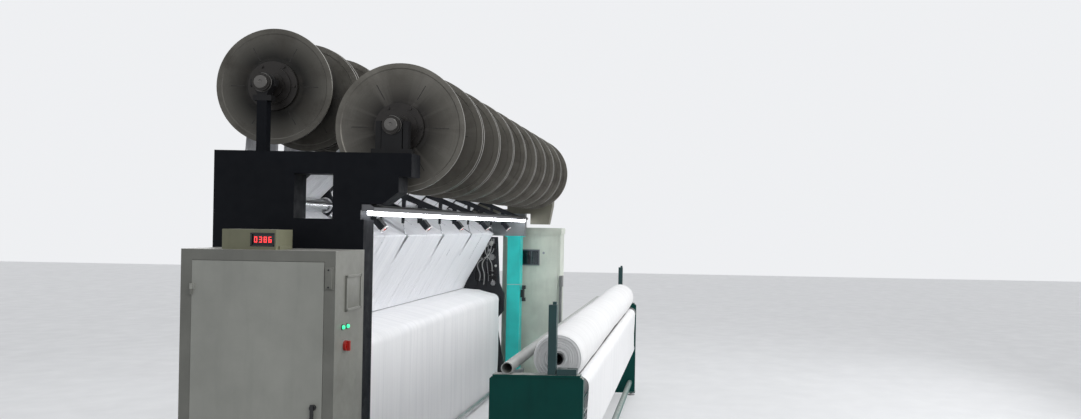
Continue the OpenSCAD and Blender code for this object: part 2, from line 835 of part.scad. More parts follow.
// Guide bar with its round carrier and the guide leads that hang from it
module guide_bar(carrier, tip_y) {
    half = lever_end_x + lever_t / 2;
    bottom = carrier[1] - 10 - guide_bar_h;
    bar_x(carrier, carrier_r, -half, half);
    block(-half, carrier[0] - guide_bar_w / 2, bottom, 2 * half, guide_bar_w, guide_bar_h + 4);
    leads() polygon([
        [carrier[0] - 6, bottom + 20], [carrier[0] + 6, bottom + 20], [tip_y + 1.5, bottom - guide_tip_drop],
        [tip_y - 1.5, bottom - guide_tip_drop]
    ]);
}

module front_guide_bar() {
    color("#9aa0a6") guide_bar(front_carrier, 788);
}

module back_guide_bar() {
    color("#9aa0a6") guide_bar(back_carrier, 826);
}

module needle_bar() {
    color("#aeb2b6") {
        block(-row_len / 2, needle_bar_y, needle_bar_z, row_len, needle_bar_w, needle_bar_h);
        leads() polygon([
            [needle_bar_y, needle_bar_z + needle_bar_h - 30],
            [needle_bar_y + needle_t * 2, needle_bar_z + needle_bar_h - 30],
            [needle_bar_y + needle_t * 2, needle_bar_z + needle_bar_h], [knit_y + needle_t, knit_z + 6],
            [knit_y + needle_t - 3, knit_z + 6], [needle_bar_y + 4, needle_bar_z + needle_bar_h]
        ]);
        for (x = rib_x)
            translate([x + 90, needle_bar_y + needle_bar_w / 2, bed_z + bed_h - 90])
                cylinder(r = rod_r, h = needle_bar_z - bed_z - bed_h + 91);
    }
}

module slider_bar() {
    top = needle_bar_z + needle_bar_h - slider_drop;
    color("#8e9297") {
        block(-row_len / 2, slider_bar_y, needle_bar_z + 10, row_len, slider_bar_w,
            needle_bar_h - 10 - slider_drop);
        leads() polygon([
            [slider_bar_y, top - 20], [slider_bar_y + 10, top - 20], [slider_bar_y + 10, top + 4],
            [knit_y + 18, knit_z - 20], [knit_y + 15, knit_z - 20], [slider_bar_y, top - 6]
        ]);
        for (x = rib_x)
            translate([x + 180, slider_bar_y + slider_bar_w / 2, bed_z + bed_h - 90])
                cylinder(r = rod_r, h = needle_bar_z + 10 - bed_z - bed_h + 91);
    }
}

module sinker_bar() {
    color("#a2a6ab") {
        block(-row_len / 2, sinker_y, sinker_z, row_len, sinker_w, sinker_h);
        leads() polygon([
            [sinker_y + 1, sinker_z + 6], [sinker_y + 1, sinker_z + 22],
            [sinker_y - sinker_reach, sinker_z + 20],
            [sinker_y - sinker_reach - 24, sinker_z + 16], [sinker_y - sinker_reach - 24, sinker_z + 12]
        ]);
        for (x = rib_x)
            translate([x, sinker_y + sinker_w - 1, sinker_z + sinker_h / 2]) rotate([-90, 0, 0])
                cylinder(r = sinker_rod_r, h = 90);
    }
}

// Knock-over plate on the bed's front ribs
module trick_plate() {
    top = knit_z - 14;
    color("#7f858b") {
        difference() {
            block(-row_len / 2, front_rib_y - 6, knit_z - 66, row_len, 68, 66 - 14);
            for (i = [1 : lead_count - 1])
                block(lead_x + i * lead_pitch - lead_gap / 2 - 0.5, front_rib_y + 40, top - 10, 1.5, 30, 11);
        }
    }
}

module main_shaft() {
    x1 = pulley_x + pulley_w;
    color("#8b9096") {
        bar_x(main_axis, main_shaft_r, -end_frame_x - end_frame_t + 1, x1);
        for (x = rib_x)
            bar_x([main_axis[0] + 12, main_axis[1]], eccentric_r, x - 20, x + 20);
        bar_x(main_axis, main_pulley_r, pulley_x, pulley_x + pulley_w);
    }
}

// Motor below the main shaft, on a rail bolted to the end frame
module main_motor() {
    x0 = pulley_x + pulley_w + 20;
    color("#2f3b45") {
        difference() {
            union() {
                bar_x(motor_axis, 120, x0, x0 + 180);
                for (i = [0 : 8]) bar_x(motor_axis, 130, x0 + 12 + i * 18, x0 + 18 + i * 18);
                block(x0, motor_axis[0] - 110, 140, 180, 220, 60);
                block(x0, motor_axis[0] - 60, 20, 180, 120, 130);
                block(x0 - 10, motor_axis[0] - 140, 0, 200, 280, 30);
                block(x0 + 60, motor_axis[0] + 90, motor_axis[1] - 50, 90, 60, 100);
            }
            bar_x(motor_axis, roller_journal_r + running, x0 - 1, x0 + 120);
        }
    }
}

module motor_pulley() {
    color("#8b9096") {
        bar_x(motor_axis, motor_pulley_r, pulley_x, pulley_x + pulley_w);
        bar_x(motor_axis, roller_journal_r, pulley_x + 1, pulley_x + pulley_w + 130);
    }
}

// Belt loop over the motor pulley and the main shaft's pulley
module belt_loop(extra) {
    r_low = motor_pulley_r + extra;
    r_high = main_pulley_r + extra;
    rise = main_axis[1] - motor_axis[1];
    lean = asin((r_high - r_low) / rise);
    translate(motor_axis) circle(r = r_low, $fn = 96);
    translate(main_axis) circle(r = r_high, $fn = 96);
    polygon([
        motor_axis + r_low * [cos(lean), -sin(lean)], main_axis + r_high * [cos(lean), -sin(lean)],
        main_axis + r_high * [-cos(lean), -sin(lean)], motor_axis + r_low * [-cos(lean), -sin(lean)]
    ]);
}

module drive_belt() {
    clear = 0.3;
    color("#1a1a1a") along_x(pulley_x + 5, pulley_w - 10) difference() {
        belt_loop(clear + belt_t);
        belt_loop(clear);
    }
}

// Shogging unit beside the far end frame, which moves the guide bars along
module pattern_drive() {
    x0 = end_frame_x + end_frame_t;
    color("#191b1e") {
        difference() {
            block(x0, 560, 1250, 150, 220, 330);
            block(x0 - 1, 580, 1340, 30, 180, 110);
        }
        for (y = [600, 740])
            translate([x0 + 150, y, 1520]) rotate([0, 90, 0]) cylinder(r = 46, h = 60);
        for (z = [1290, 1340, 1390]) block(x0 + 150, 590, z, 14, 160, 20);
        for (y = [430, 470, 510]) bar_x([y, 1350 + (y - 430) * 2], 14, x0, x0 + 60);
        block(x0, 420, 1300, 30, 140, 260);
    }
}

module rear_take_up_roller() {
    color("#6b6f73") roller(rear_take_up, rear_take_up_r, end_frame_x - 8, 7 + end_frame_t);
}

module front_take_up_roller() {
    color("#6b6f73") roller(front_take_up, front_take_up_r, end_frame_x - 8, 7 + end_frame_t);
}

module machine_idler() {
    color("#b8bcc0") roller(machine_idler, idler_r, end_frame_x - 8, 7 + end_frame_t);
}

module fabric_web() {
    half = row_len / 2 - 10;
    color("#f7f7f5") along_x(-half, 2 * half) polygon(band(fabric_path, sheet_t));
}

module winder_base_idler() {
    color("#b8bcc0") roller(base_idler, idler_r, winder_half - 6, 26);
}

module winder_front_idler() {
    color("#b8bcc0") roller(front_idler, idler_r, winder_half - 6, 26);
}

module front_drive_roller() {
    color("#3c4044") roller(drive_front, drive_roller_r, winder_half - 6, 30);
}

module rear_drive_roller() {
    color("#3c4044") roller(drive_rear, drive_roller_r, winder_half - 6, 30);
}

// Side panel of the winder: a folded steel box with a stiffened top edge
module winder_panel(x0) {
    inner = x0 < 0 ? x0 + panel_t : x0;
    sense = x0 < 0 ? 1 : -1;
    difference() {
        union() {
            along_x(x0, panel_t) polygon([
                [panel_y, foot_h], [panel_y + panel_w, foot_h], [panel_y + panel_w, panel_h - 12],
                [panel_y + panel_w - 12, panel_h], [panel_y + 12, panel_h], [panel_y, panel_h - 12]
            ]);
            block(x0 - 8, panel_y + 20, panel_h - 0.01, panel_t + 16, panel_w - 40, panel_cap_t + 0.01);
            for (y = [-back_axis_y - back_flange_d / 2, panel_y + panel_w - 80])
                block(x0 - 10, y, foot_h, panel_t + 20, 120, 14);
        }
        for (at = [base_idler, front_idler, drive_front, drive_rear])
            bar_x(at, roller_journal_r + running, inner - (sense > 0 ? 28 : 1), inner + (sense > 0 ? 1 : 28));
    }
}

module winder_panels() {
    color("#0f4a41") {
        winder_panel(-winder_half - panel_t);
        winder_panel(winder_half);
    }
}

module winder_tie_rails() {
    color("#1f6d5f") {
        bar_x([panel_y + 60, 150], 30, -winder_half, winder_half);
        bar_x([panel_y + panel_w - 50, 150], 30, -winder_half, winder_half);
        bar_x([panel_y + panel_w - 50, 700], 30, -winder_half, winder_half);
    }
}

// Light tube along the back of the winder, held in two saddles
module winder_rear_tube() {
    color("#a9adaa") {
        difference() {
            bar_x(rear_tube, rear_tube_r, -winder_half - panel_t, winder_half + panel_t);
            bar_x(rear_tube, rear_tube_r - 5, -winder_half - panel_t - 1, winder_half + panel_t + 1);
        }
    }
}

// Upright end guides on the panels, and the clamps beside them
module winder_posts() {
    base = panel_h + panel_cap_t;
    color("#173c3c") for (x = [-winder_half - panel_t, winder_half]) {
        block(x + 4, winder_post_y - winder_post_w / 2, base, panel_t - 8, winder_post_w,
            winder_post_top - base - 18);
        block(x + 14, winder_post_y - winder_post_w / 2 + 4, winder_post_top - 19, panel_t - 28, 22, 19);
        difference() {
            block(x - 4, -1140, base, panel_t + 8, 118, 36);
            block(x + 20, -1141, base + 22, 20, 60, 15);
        }
    }
}

// Fabric wound on a tube that stays open at both ends
module fabric_roll() {
    color("#f3f3f1") difference() {
        bar_x([roll_y, roll_z], cloth_roll_r, -roll_half, roll_half);
        bar_x([roll_y, roll_z], tube_bore_d / 2, -roll_half - 1, roll_half + 1);
    }
}

// Lift-off hinge at a door's edge: a pin in the shell's lower knuckle carries the door's knuckle
module shell_knuckles(x, y, heights) {
    for (z = heights) {
        translate([x - door_hinge_r, y, z]) cylinder(r = door_hinge_r, h = 30);
        translate([x - door_hinge_r, y, z + 29]) cylinder(r = door_pin_r, h = 26);
        block(x - 6, y + 1, z, 9, 18, 30);
    }
}

module door_knuckles(x, y, heights) {
    for (z = heights) {
        translate([x - door_hinge_r, y, z + 30]) cylinder(r = door_hinge_r, h = 30);
        block(x - 6, y - 18, z + 30, 6.5, 18, 30);
    }
}

module knuckle_bores(x, y, heights) {
    for (z = heights)
        translate([x - door_hinge_r, y, z + 29]) cylinder(r = door_pin_r + running, h = 28);
}

// A thin door with folded edges
module sheet_door(x, y, width, z, height) {
    block(x, y, z, 3, width, height);
    for (ye = [y, y + width - 3]) block(x, ye, z, 22, 3, height);
    for (ze = [z, z + height - 3]) block(x, y, ze, 22, width, 3);
}

// Near electrical cabinet: shell with a door opening at the near face
module near_cabinet() {
    x0 = near_cab_x;
    y0 = near_cab_y;
    wall = 3;
    frame_w = 60;
    color("#8a8f89") {
        difference() {
            block(x0 + 2, y0, 0, near_cab_depth - 2, near_cab_w, near_cab_h);
            block(x0 + 30, y0 + wall, 100, near_cab_depth - 30 - wall, near_cab_w - 2 * wall,
                near_cab_h - 100 - wall);
            block(x0 - 1, y0 + frame_w, 120, 40, near_cab_w - 2 * frame_w, near_cab_h - 120 - frame_w);
            translate([x0 + near_cab_depth - switch_dx, y0 - 1, switch_z]) rotate([-90, 0, 0])
                cylinder(r = 16.2, h = wall + 2);
        }
        for (dx = [switch_dx - 25, switch_dx + 40])
            translate([x0 + near_cab_depth - dx, y0 + 1, switch_z + 108]) rotate([90, 0, 0])
                cylinder(r = 11, h = 11);
        block(x0 + near_cab_depth - 280, y0 - 4, switch_z + 192, 220, 5, 205);
        shell_knuckles(near_cab_x, near_hinge_y, near_hinge_z);
    }
}

module near_cabinet_door() {
    y0 = near_cab_y + 62;
    color("#8f948d") difference() {
        union() {
            sheet_door(near_cab_x, y0, near_hinge_y - 1 - y0, 122, near_cab_h - 184);
            door_knuckles(near_cab_x, near_hinge_y, near_hinge_z);
        }
        knuckle_bores(near_cab_x, near_hinge_y, near_hinge_z);
        translate([near_cab_x - 1, y0 + 45, 950]) rotate([0, 90, 0]) cylinder(r = 8.75, h = 6);
    }
}

module near_door_handle() {
    y = near_cab_y + 60 + 2 + 45;
    color("#2b2d30") {
        translate([near_cab_x - 0.3 - 18, y, 950]) rotate([0, 90, 0]) cylinder(r = 17, h = 18);
        translate([near_cab_x - 4, y, 950]) rotate([0, 90, 0]) cylinder(r = 8.7, h = 22);
        block(near_cab_x - 18.3 - 8, y - 9, 860, 8, 18, 110);
    }
}

module isolator_switch() {
    x = near_cab_x + near_cab_depth - switch_dx;
    color("#b3261e") translate([x, near_cab_y, switch_z]) rotate([90, 0, 0]) {
        translate([0, 0, 0.3]) cylinder(r = 30, h = 14);
        translate([0, 0, -12]) cylinder(r = 16, h = 13);
        translate([-8, -28, 14]) cube([16, 56, 16]);
    }
}

// Far control cabinet: shell, cornice and an opening for the door
module far_cabinet() {
    wall = 3;
    frame_w = 24;
    color("#a9b5a5") {
        difference() {
            union() {
                block(far_cab_x + 2, far_cab_y, 0, far_cab_depth - 2, far_cab_w, far_cab_h);
                block(far_cab_x - 14, far_cab_y - 12, far_cab_h - 0.01, far_cab_depth + 14, far_cab_w + 24, 70);
            }
            block(far_cab_x + 30, far_cab_y + wall, 100, far_cab_depth - 30 - wall, far_cab_w - 2 * wall,
                far_cab_h - 100 - wall);
            block(far_cab_x - 1, far_cab_y + frame_w, 120, 40, far_door_w + 4, far_cab_h - 120 - frame_w);
        }
        shell_knuckles(far_cab_x, far_hinge_y, far_hinge_z);
        block(far_stand_x + far_stand_t, 340, 1885, far_cab_x - far_stand_x - far_stand_t, 80, 55);
    }
}

module far_cabinet_door() {
    color("#b3bfae") difference() {
        union() {
            sheet_door(far_cab_x, far_cab_y + 26, far_door_w, 122, far_cab_h - 148);
            door_knuckles(far_cab_x, far_hinge_y, far_hinge_z);
            translate([far_cab_x - 5, -51, 1650]) rotate([0, 90, 0]) cylinder(r = 15, h = 6);
        }
        knuckle_bores(far_cab_x, far_hinge_y, far_hinge_z);
        block(far_cab_x - 1, 3, 1505, 6, 200, 178);
    }
}

// Screen unit let into the far cabinet's door
module operator_panel() {
    color("#59606a") {
        difference() {
            block(far_cab_x - 12, -3, 1499, 12, 212, 190);
            block(far_cab_x - 13, 100, 1512, 5, 100, 164);
        }
        block(far_cab_x - 0.01, 4, 1506, 50, 198, 176);
    }
}

// Small box with its cable duct on the far cabinet's corner
module junction_box() {
    color("#6f7672") {
        block(far_cab_x - 60, far_cab_y - 34, 1250, 120, 34, 130);
        block(far_cab_x - 40, far_cab_y - 26, 20, 70, 26, 1231);
    }
}

// Hand unit that hangs on the far post
module handset() {
    x0 = far_stand_x + post_w / 2 - 26;
    color("#141618") {
        block(x0 + 10, 151, 1130, 32, 24, 90);
        block(x0 + 4, 133, 1100, 44, 20, 160);
        for (z = [1086, 1228]) block(x0, 118, z, 52, 40, 42);
    }
}

// Counter in a small housing on the near cabinet's roof
module counter_box() {
    color("#8c8a5c") {
        difference() {
            block(near_cab_x + 60, 500, near_cab_h, 200, 300, 112);
            block(near_cab_x + 59, 515, near_cab_h + 24, 7, 120, 64);
        }
        block(near_cab_x + 90, 490, near_cab_h, 140, 10.01, 20);
    }
}

machine_bed();
end_frames();
near_stand();
far_stand();
far_front_post();
far_beam_bracket();
arm_traverse();
levelling_feet();
beam_bearings();
beam_drives();
front_beam_shaft();
front_warp_beams();
front_yarn_windings();
back_beam_shaft();
back_warp_beams();
back_yarn_windings();
front_guide_roller();
back_guide_roller();
front_tension_rail();
back_tension_rail();
front_yarn_sheet();
back_yarn_sheet();
light_channel();
light_tube();
sensor_heads();
guide_hanger();
front_guide_bar();
back_guide_bar();
needle_bar();
slider_bar();
sinker_bar();
trick_plate();
main_shaft();
main_motor();
motor_pulley();
drive_belt();
pattern_drive();
rear_take_up_roller();
front_take_up_roller();
fabric_web();
machine_idler();
winder_base_idler();
winder_front_idler();
winder_panels();
winder_tie_rails();
winder_rear_tube();
winder_posts();
front_drive_roller();
rear_drive_roller();
fabric_roll();
near_cabinet();
near_cabinet_door();
near_door_handle();
isolator_switch();
counter_box();
far_cabinet();
far_cabinet_door();
operator_panel();
junction_box();
handset();
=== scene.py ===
"""Looks for the warp knitting machine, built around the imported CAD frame. All lengths are in metres."""
import math
import random
from collections import namedtuple

import bmesh
import bpy
from mathutils import Matrix, Vector


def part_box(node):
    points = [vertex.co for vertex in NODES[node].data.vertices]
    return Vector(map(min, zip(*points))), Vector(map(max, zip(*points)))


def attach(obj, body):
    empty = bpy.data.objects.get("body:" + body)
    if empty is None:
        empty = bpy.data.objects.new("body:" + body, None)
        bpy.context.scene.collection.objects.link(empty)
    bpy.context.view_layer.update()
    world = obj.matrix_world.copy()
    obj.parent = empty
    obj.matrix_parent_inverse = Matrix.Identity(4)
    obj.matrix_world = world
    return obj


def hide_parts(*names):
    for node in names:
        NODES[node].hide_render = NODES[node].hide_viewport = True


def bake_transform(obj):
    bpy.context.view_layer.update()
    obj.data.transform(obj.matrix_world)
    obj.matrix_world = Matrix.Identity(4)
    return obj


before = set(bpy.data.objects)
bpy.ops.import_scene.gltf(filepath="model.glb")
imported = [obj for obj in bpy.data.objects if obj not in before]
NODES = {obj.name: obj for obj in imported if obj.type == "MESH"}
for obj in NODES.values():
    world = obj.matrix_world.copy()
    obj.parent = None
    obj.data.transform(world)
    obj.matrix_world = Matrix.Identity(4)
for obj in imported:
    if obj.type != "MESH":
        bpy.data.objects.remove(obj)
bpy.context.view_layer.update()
TAU = 2 * math.pi

# Sizes repeated from the CAD source
PITCH, ROW_X, COUNT = 0.510, -2.295, 9  # pitch of the sections, near end of the row, sections
BEAM_GAP, INSET = 0.030, 0.024  # gap between two beams, and from a beam's end to its yarn
BARREL_R = 0.1305
WIDE, NARROW = 0.064, 0.012  # gaps between two sections' yarn, with an arm between them and without
FRONT_AXIS, BACK_AXIS = (0.030, 2.570), (0.825, 2.815)  # places in the YZ plane, as all pairs below
FRONT_R, BACK_R = 0.406, 0.362
FRONT_YARN, BACK_YARN = 0.180, 0.170
FRONT_ROLLER, BACK_ROLLER, ROLLER_R = (0.700, 2.085), (0.975, 2.060), 0.045
FRONT_RAIL, BACK_RAIL, RAIL_R = (0.477, 1.872), (0.672, 1.810), 0.010
FRONT_EYES, BACK_EYES, NEEDLES = (0.763, 1.330), (0.820, 1.330), (0.805, 1.236)
ARMS = (-1.785, -0.765, 0.255, 1.275, 2.311)  # of the traverse, along X
NOSE_X, RING_X = -2.457, -2.435  # near end of a beam shaft, middle of the collar behind it
SHEET_OFF = 0.0019  # yarn and cloth run this far off what carries them
CLOTH_HALF, CLOTH_T = 2.285, 0.0012
ROLL_Y, DRIVE_Z, DRIVE_R, ROLL_R = -1.003, 0.973, 0.060, 0.160
DRIVE_APART = 0.12  # from the plane of the roll to each drive roller
DRIVE_Y = ROLL_Y - DRIVE_APART
ROLL_Z = DRIVE_Z + math.sqrt((DRIVE_R + ROLL_R + 0.0003) ** 2 - DRIVE_APART ** 2)
ROLL_HALF, CORE_R = 2.400, 0.036
NEAR_CAB_X, NEAR_CAB_Y, NEAR_CAB_H = -2.9597, 0.142, 1.810  # near face, aisle side, top
LAMPS_X, LAMP_Z = (-2.785, -2.850), 1.381
FAR_CAB_X = 2.686  # near face of the far cabinet's door
END_FRAME_X = 2.345  # aisle side of the far end frame
# the rollers that the cloth runs over, from the needles to the winder: place, radius, side
CLOTH_ROLLERS = [((0.640, 1.160), 0.065, 1), ((0.465, 1.110), 0.072, 1), ((0.362, 0.120), 0.028, -1),
                 ((-0.800, 0.120), 0.028, -1), ((-1.148, 0.560), 0.028, -1),
                 ((DRIVE_Y, DRIVE_Z), DRIVE_R, -1)]


# Camera
def make_camera():
    """The photograph's own view: a wide lens, shifted, with a slight roll."""
    data = bpy.data.cameras.new("camera")
    cam = bpy.data.objects.new("camera", data)
    bpy.context.scene.collection.objects.link(cam)
    data.sensor_fit = "HORIZONTAL"
    data.sensor_width = 36.0
    data.lens = 28.907
    data.shift_x, data.shift_y = -0.1383, 0.01804
    data.clip_start, data.clip_end = 0.05, 200.0
    base = Matrix(((0, 0, -1), (-1, 0, 0), (0, 1, 0))).to_4x4()
    turn = base @ Matrix.Rotation(0.019, 4, "Z")
    cam.matrix_world = Matrix.Translation((-7.725, -1.80, 1.97)) @ turn
    bpy.context.scene.camera = cam


# Materials
class Nodes:
    """Short ways to add shader nodes to one material."""

    def __init__(self, name):
        self.mat = bpy.data.materials.new(name)
        self.mat.use_nodes = True
        self.tree = self.mat.node_tree
        self.shader = self.tree.nodes["Principled BSDF"]
        self.coord = self.add("ShaderNodeTexCoord").outputs["Object"]

    def add(self, kind, **values):
        node = self.tree.nodes.new(kind)
        for key, value in values.items():
            setattr(node, key, value)
        return node

    def link(self, out, into):
        self.tree.links.new(out, into)

    def put(self, socket, value):
        if isinstance(value, bpy.types.NodeSocket):
            self.link(value, socket)
        else:
            socket.default_value = value

    def math(self, op, a, b=0.0):
        node = self.add("ShaderNodeMath", operation=op)
        self.put(node.inputs[0], a)
        self.put(node.inputs[1], b)
        return node.outputs[0]

    def split(self, vector=None):
        node = self.add("ShaderNodeSeparateXYZ")
        self.link(vector or self.coord, node.inputs[0])
        return node.outputs

    def join(self, x, y, z):
        node = self.add("ShaderNodeCombineXYZ")
        for socket, value in zip(node.inputs, (x, y, z)):
            self.put(socket, value)
        return node.outputs[0]

    def scaled(self, scale):
        node = self.add("ShaderNodeMapping")
        self.link(self.coord, node.inputs["Vector"])
        node.inputs["Scale"].default_value = scale
        return node.outputs[0]

    def noise(self, scale, vector=None, detail=4.0, rough=0.55):
        node = self.add("ShaderNodeTexNoise")
        self.link(vector or self.coord, node.inputs["Vector"])
        node.inputs["Scale"].default_value = scale
        node.inputs["Detail"].default_value = detail
        node.inputs["Roughness"].default_value = rough
        return node.outputs["Fac"]

    def span(self, value, lo, hi, to_lo=0.0, to_hi=1.0):
        node = self.add("ShaderNodeMapRange")
        self.link(value, node.inputs["Value"])
        for key, number in zip(("From Min", "From Max", "To Min", "To Max"), (lo, hi, to_lo, to_hi)):
            node.inputs[key].default_value = number
        return node.outputs["Result"]

    def mix(self, factor, a, b):
        node = self.add("ShaderNodeMix", data_type="RGBA")
        self.put(node.inputs["Factor"], factor)
        self.put(node.inputs["A"], rgba(a))
        self.put(node.inputs["B"], rgba(b))
        return node.outputs["Result"]

    def bump(self, height, strength, distance=0.001):
        node = self.add("ShaderNodeBump")
        node.inputs["Strength"].default_value = strength
        node.inputs["Distance"].default_value = distance
        self.link(height, node.inputs["Height"])
        self.link(node.outputs["Normal"], self.shader.inputs["Normal"])

    def rough(self, value, lo, hi, to_lo, to_hi):
        self.link(self.span(value, lo, hi, to_lo, to_hi), self.shader.inputs["Roughness"])

    def color(self, value):
        self.link(value, self.shader.inputs["Base Color"])

    def set(self, **values):
        """Sets inputs of the shader, such as Specular_IOR_Level=0.3."""
        for key, value in values.items():
            self.shader.inputs[key.replace("_", " ")].default_value = value

    def up(self):
        """How far the surface faces up, from -1 to 1."""
        geometry = self.add("ShaderNodeNewGeometry")
        return self.split(geometry.outputs["Normal"])[2]


DUST = (0.56, 0.55, 0.52)


def rgba(value):
    if isinstance(value, (tuple, list)) and len(value) == 3:
        return (*value, 1.0)
    return value


def tone(color, gain):
    return tuple(min(1.0, c * gain) for c in color)


def painted(name, color, rough=0.45, dust=0.35, grime=0.3, metal=0.0, fine=260.0, bump=0.12, spread=0.16,
            level=0.5):
    """Paint or plastic over a base: cloudy tone, runs of grime down the sides, and dust on top."""
    n = Nodes(name)
    cloud = n.noise(3.1, detail=6.0)
    patch = n.noise(17.0, detail=5.0)
    base = n.mix(n.span(cloud, 0.3, 0.7), tone(color, 1 - spread), tone(color, 1 + spread))
    runs = n.noise(5.0, n.scaled((3.0, 3.0, 0.35)), detail=7.0, rough=0.62)
    base = n.mix(n.span(runs, 0.5, 0.78, 0.0, grime), base, tone(color, 0.45))
    lint = n.math("MULTIPLY", n.span(n.up(), 0.25, 0.95), n.span(patch, 0.28, 0.62, 0.3, 1.0))
    n.color(n.mix(n.math("MULTIPLY", lint, dust), base, DUST))
    n.rough(patch, 0.25, 0.75, max(0.05, rough - 0.1), min(1.0, rough + 0.12))
    n.set(Metallic=metal, Specular_IOR_Level=level)
    n.bump(n.noise(fine, detail=2.0), bump)
    return n.mat


def machined(name, color, rough, along=(1.0, 40.0, 40.0), metal=1.0, oil=0.3, dust=0.25):
    """Bare metal with fine tool marks, stretched along the piece, and darker oily patches."""
    n = Nodes(name)
    marks = n.noise(9.0, n.scaled(along), detail=3.0)
    stain = n.noise(7.0, detail=6.0)
    base = n.mix(n.span(marks, 0.3, 0.7), tone(color, 0.86), tone(color, 1.12))
    base = n.mix(n.span(stain, 0.52, 0.72, 0.0, oil), base, tone(color, 0.3))
    n.color(n.mix(n.span(n.up(), 0.5, 1.0, 0.0, dust), base, (0.5, 0.5, 0.48)))
    n.rough(marks, 0.2, 0.8, max(0.06, rough - 0.09), rough + 0.12)
    n.set(Metallic=metal)
    n.bump(marks, 0.1, 0.0004)
    return n.mat


def disc(name, axis, rings, metal, level, dirt_and_shade=0.55, painted_sheen=0.2):
    """A turned disc round an X axis: tone and roughness by radius, lathe marks, stains and dust, and patches of
    painted sheen. A heavy stain setting darkens the face as painted shade as well as dirt.
    """
    n = Nodes(name)
    x, y, z = n.split()
    dy, dz = n.math("SUBTRACT", y, axis[0]), n.math("SUBTRACT", z, axis[1])
    radius = n.math("SQRT", n.math("ADD", n.math("MULTIPLY", dy, dy), n.math("MULTIPLY", dz, dz)))
    angle = n.math("ARCTAN2", dz, dy)
    widest = 0.42
    ramp = n.add("ShaderNodeValToRGB")
    stops = ramp.color_ramp.elements
    for i, (r, color, rough) in enumerate(rings):
        stop = stops[i] if i < 2 else stops.new(0.5)
        stop.position = r / widest
        stop.color = (*color, rough)
    n.link(n.math("DIVIDE", radius, widest), ramp.inputs["Fac"])
    marks_at = n.join(n.math("MULTIPLY", radius, 520.0), n.math("MULTIPLY", angle, 1.6),
                      n.math("MULTIPLY", x, 5.0))
    turning = n.noise(1.0, marks_at, detail=3.0)
    stain = n.noise(4.2, detail=8.0, rough=0.66)
    # painted sheen: lighter patches at angles round the disc, a painted highlight in place of the turned
    # metal's reflection
    sheen_patches_at = n.join(n.math("MULTIPLY", angle, 3.2), n.math("MULTIPLY", radius, 1.2), x)
    sheen_patch = n.noise(1.0, sheen_patches_at, detail=5.0)
    base = n.mix(n.span(turning, 0.3, 0.7, 0.0, 0.22), ramp.outputs["Color"], (0.05, 0.046, 0.041))
    # dark stain patches: dirt, and where the setting is high, as on the back row, painted shade too
    base = n.mix(n.span(stain, 0.46, 0.72, 0.0, dirt_and_shade), base, (0.055, 0.048, 0.040))
    base = n.mix(n.span(sheen_patch, 0.5, 0.75, 0.0, painted_sheen), base, (0.34, 0.32, 0.29))
    n.color(n.mix(n.span(n.up(), 0.3, 1.0, 0.0, 0.3), base, (0.55, 0.54, 0.5)))
    uneven = n.span(turning, 0.2, 0.8, -0.08, 0.08)
    n.link(n.math("ADD", ramp.outputs["Alpha"], uneven), n.shader.inputs["Roughness"])
    n.set(Metallic=metal, Specular_IOR_Level=level, Anisotropic=0.55)
    around = n.join(0.0, n.math("MULTIPLY", dz, -1.0), dy)
    in_world = n.add("ShaderNodeVectorTransform", vector_type="VECTOR", convert_from="OBJECT",
                     convert_to="WORLD")
    n.link(around, in_world.inputs[0])
    n.link(in_world.outputs[0], n.shader.inputs["Tangent"])
    n.bump(turning, 0.16, 0.0006)
    return n.mat


def yarn(name, color, shade, along):
    """White filament: fine lines along the yarn, with soft bands where ends are thicker or missing."""
    n = Nodes(name)
    lines = n.noise(1.0, n.scaled(along), detail=2.0)
    bands = n.noise(1.0, n.scaled(tuple(a * 0.11 for a in along)), detail=3.0)
    base = n.mix(n.span(lines, 0.3, 0.7), color, shade)
    n.color(n.mix(n.span(bands, 0.52, 0.7, 0.0, 0.5), base, shade))
    n.rough(lines, 0.3, 0.7, 0.4, 0.6)
    n.set(Sheen_Weight=0.25)
    n.bump(lines, 0.25, 0.0006)
    return n.mat


def knit(name, color, shade):
    """Warp-knitted cloth: wales along the cloth, courses across, and loose creases."""
    n = Nodes(name)
    pitch = 0.0032
    x, y, z = n.split()
    run = n.math("ADD", y, z)
    wale = n.math("SINE", n.math("MULTIPLY", x, TAU / pitch))
    course = n.math("SINE", n.math("MULTIPLY", run, TAU / (pitch * 1.2)))
    loops = n.math("MULTIPLY", wale, course)
    bars = n.noise(1.0, n.scaled((26.0, 0.6, 0.6)), detail=4.0)
    crease = n.noise(1.0, n.scaled((5.0, 1.4, 1.4)), detail=5.0, rough=0.6)
    base = n.mix(n.span(bars, 0.42, 0.72, 0.0, 0.7), color, shade)
    n.color(n.mix(n.span(loops, -1.0, 1.0, 0.0, 0.25), base, shade))
    n.rough(crease, 0.3, 0.7, 0.72, 0.9)
    n.set(Sheen_Weight=0.3)
    height = n.math("ADD", n.math("MULTIPLY", loops, 0.35), n.math("MULTIPLY", crease, 1.2))
    n.bump(height, 0.35, 0.0015)
    return n.mat


def glow(name, color, strength, rim=(0.8, 0.8, 0.82)):
    """A lit diffuser: the light is a shade weaker in faint bands."""
    n = Nodes(name)
    band = n.noise(30.0, detail=2.0)
    n.link(n.mix(n.span(band, 0.3, 0.7), color, tone(color, 0.93)), n.shader.inputs["Emission Color"])
    n.set(Emission_Strength=strength, Base_Color=rgba(rim), Roughness=0.35)
    return n.mat


def dress(material, *names):
    """Gives CAD nodes their finish."""
    for name in names:
        mesh = NODES[name].data
        mesh.materials.clear()
        mesh.materials.append(material)


# Mesh helpers
def new_object(name, bm):
    mesh = bpy.data.meshes.new(name)
    bm.to_mesh(mesh)
    bm.free()
    obj = bpy.data.objects.new(name, mesh)
    bpy.context.scene.collection.objects.link(obj)
    return obj


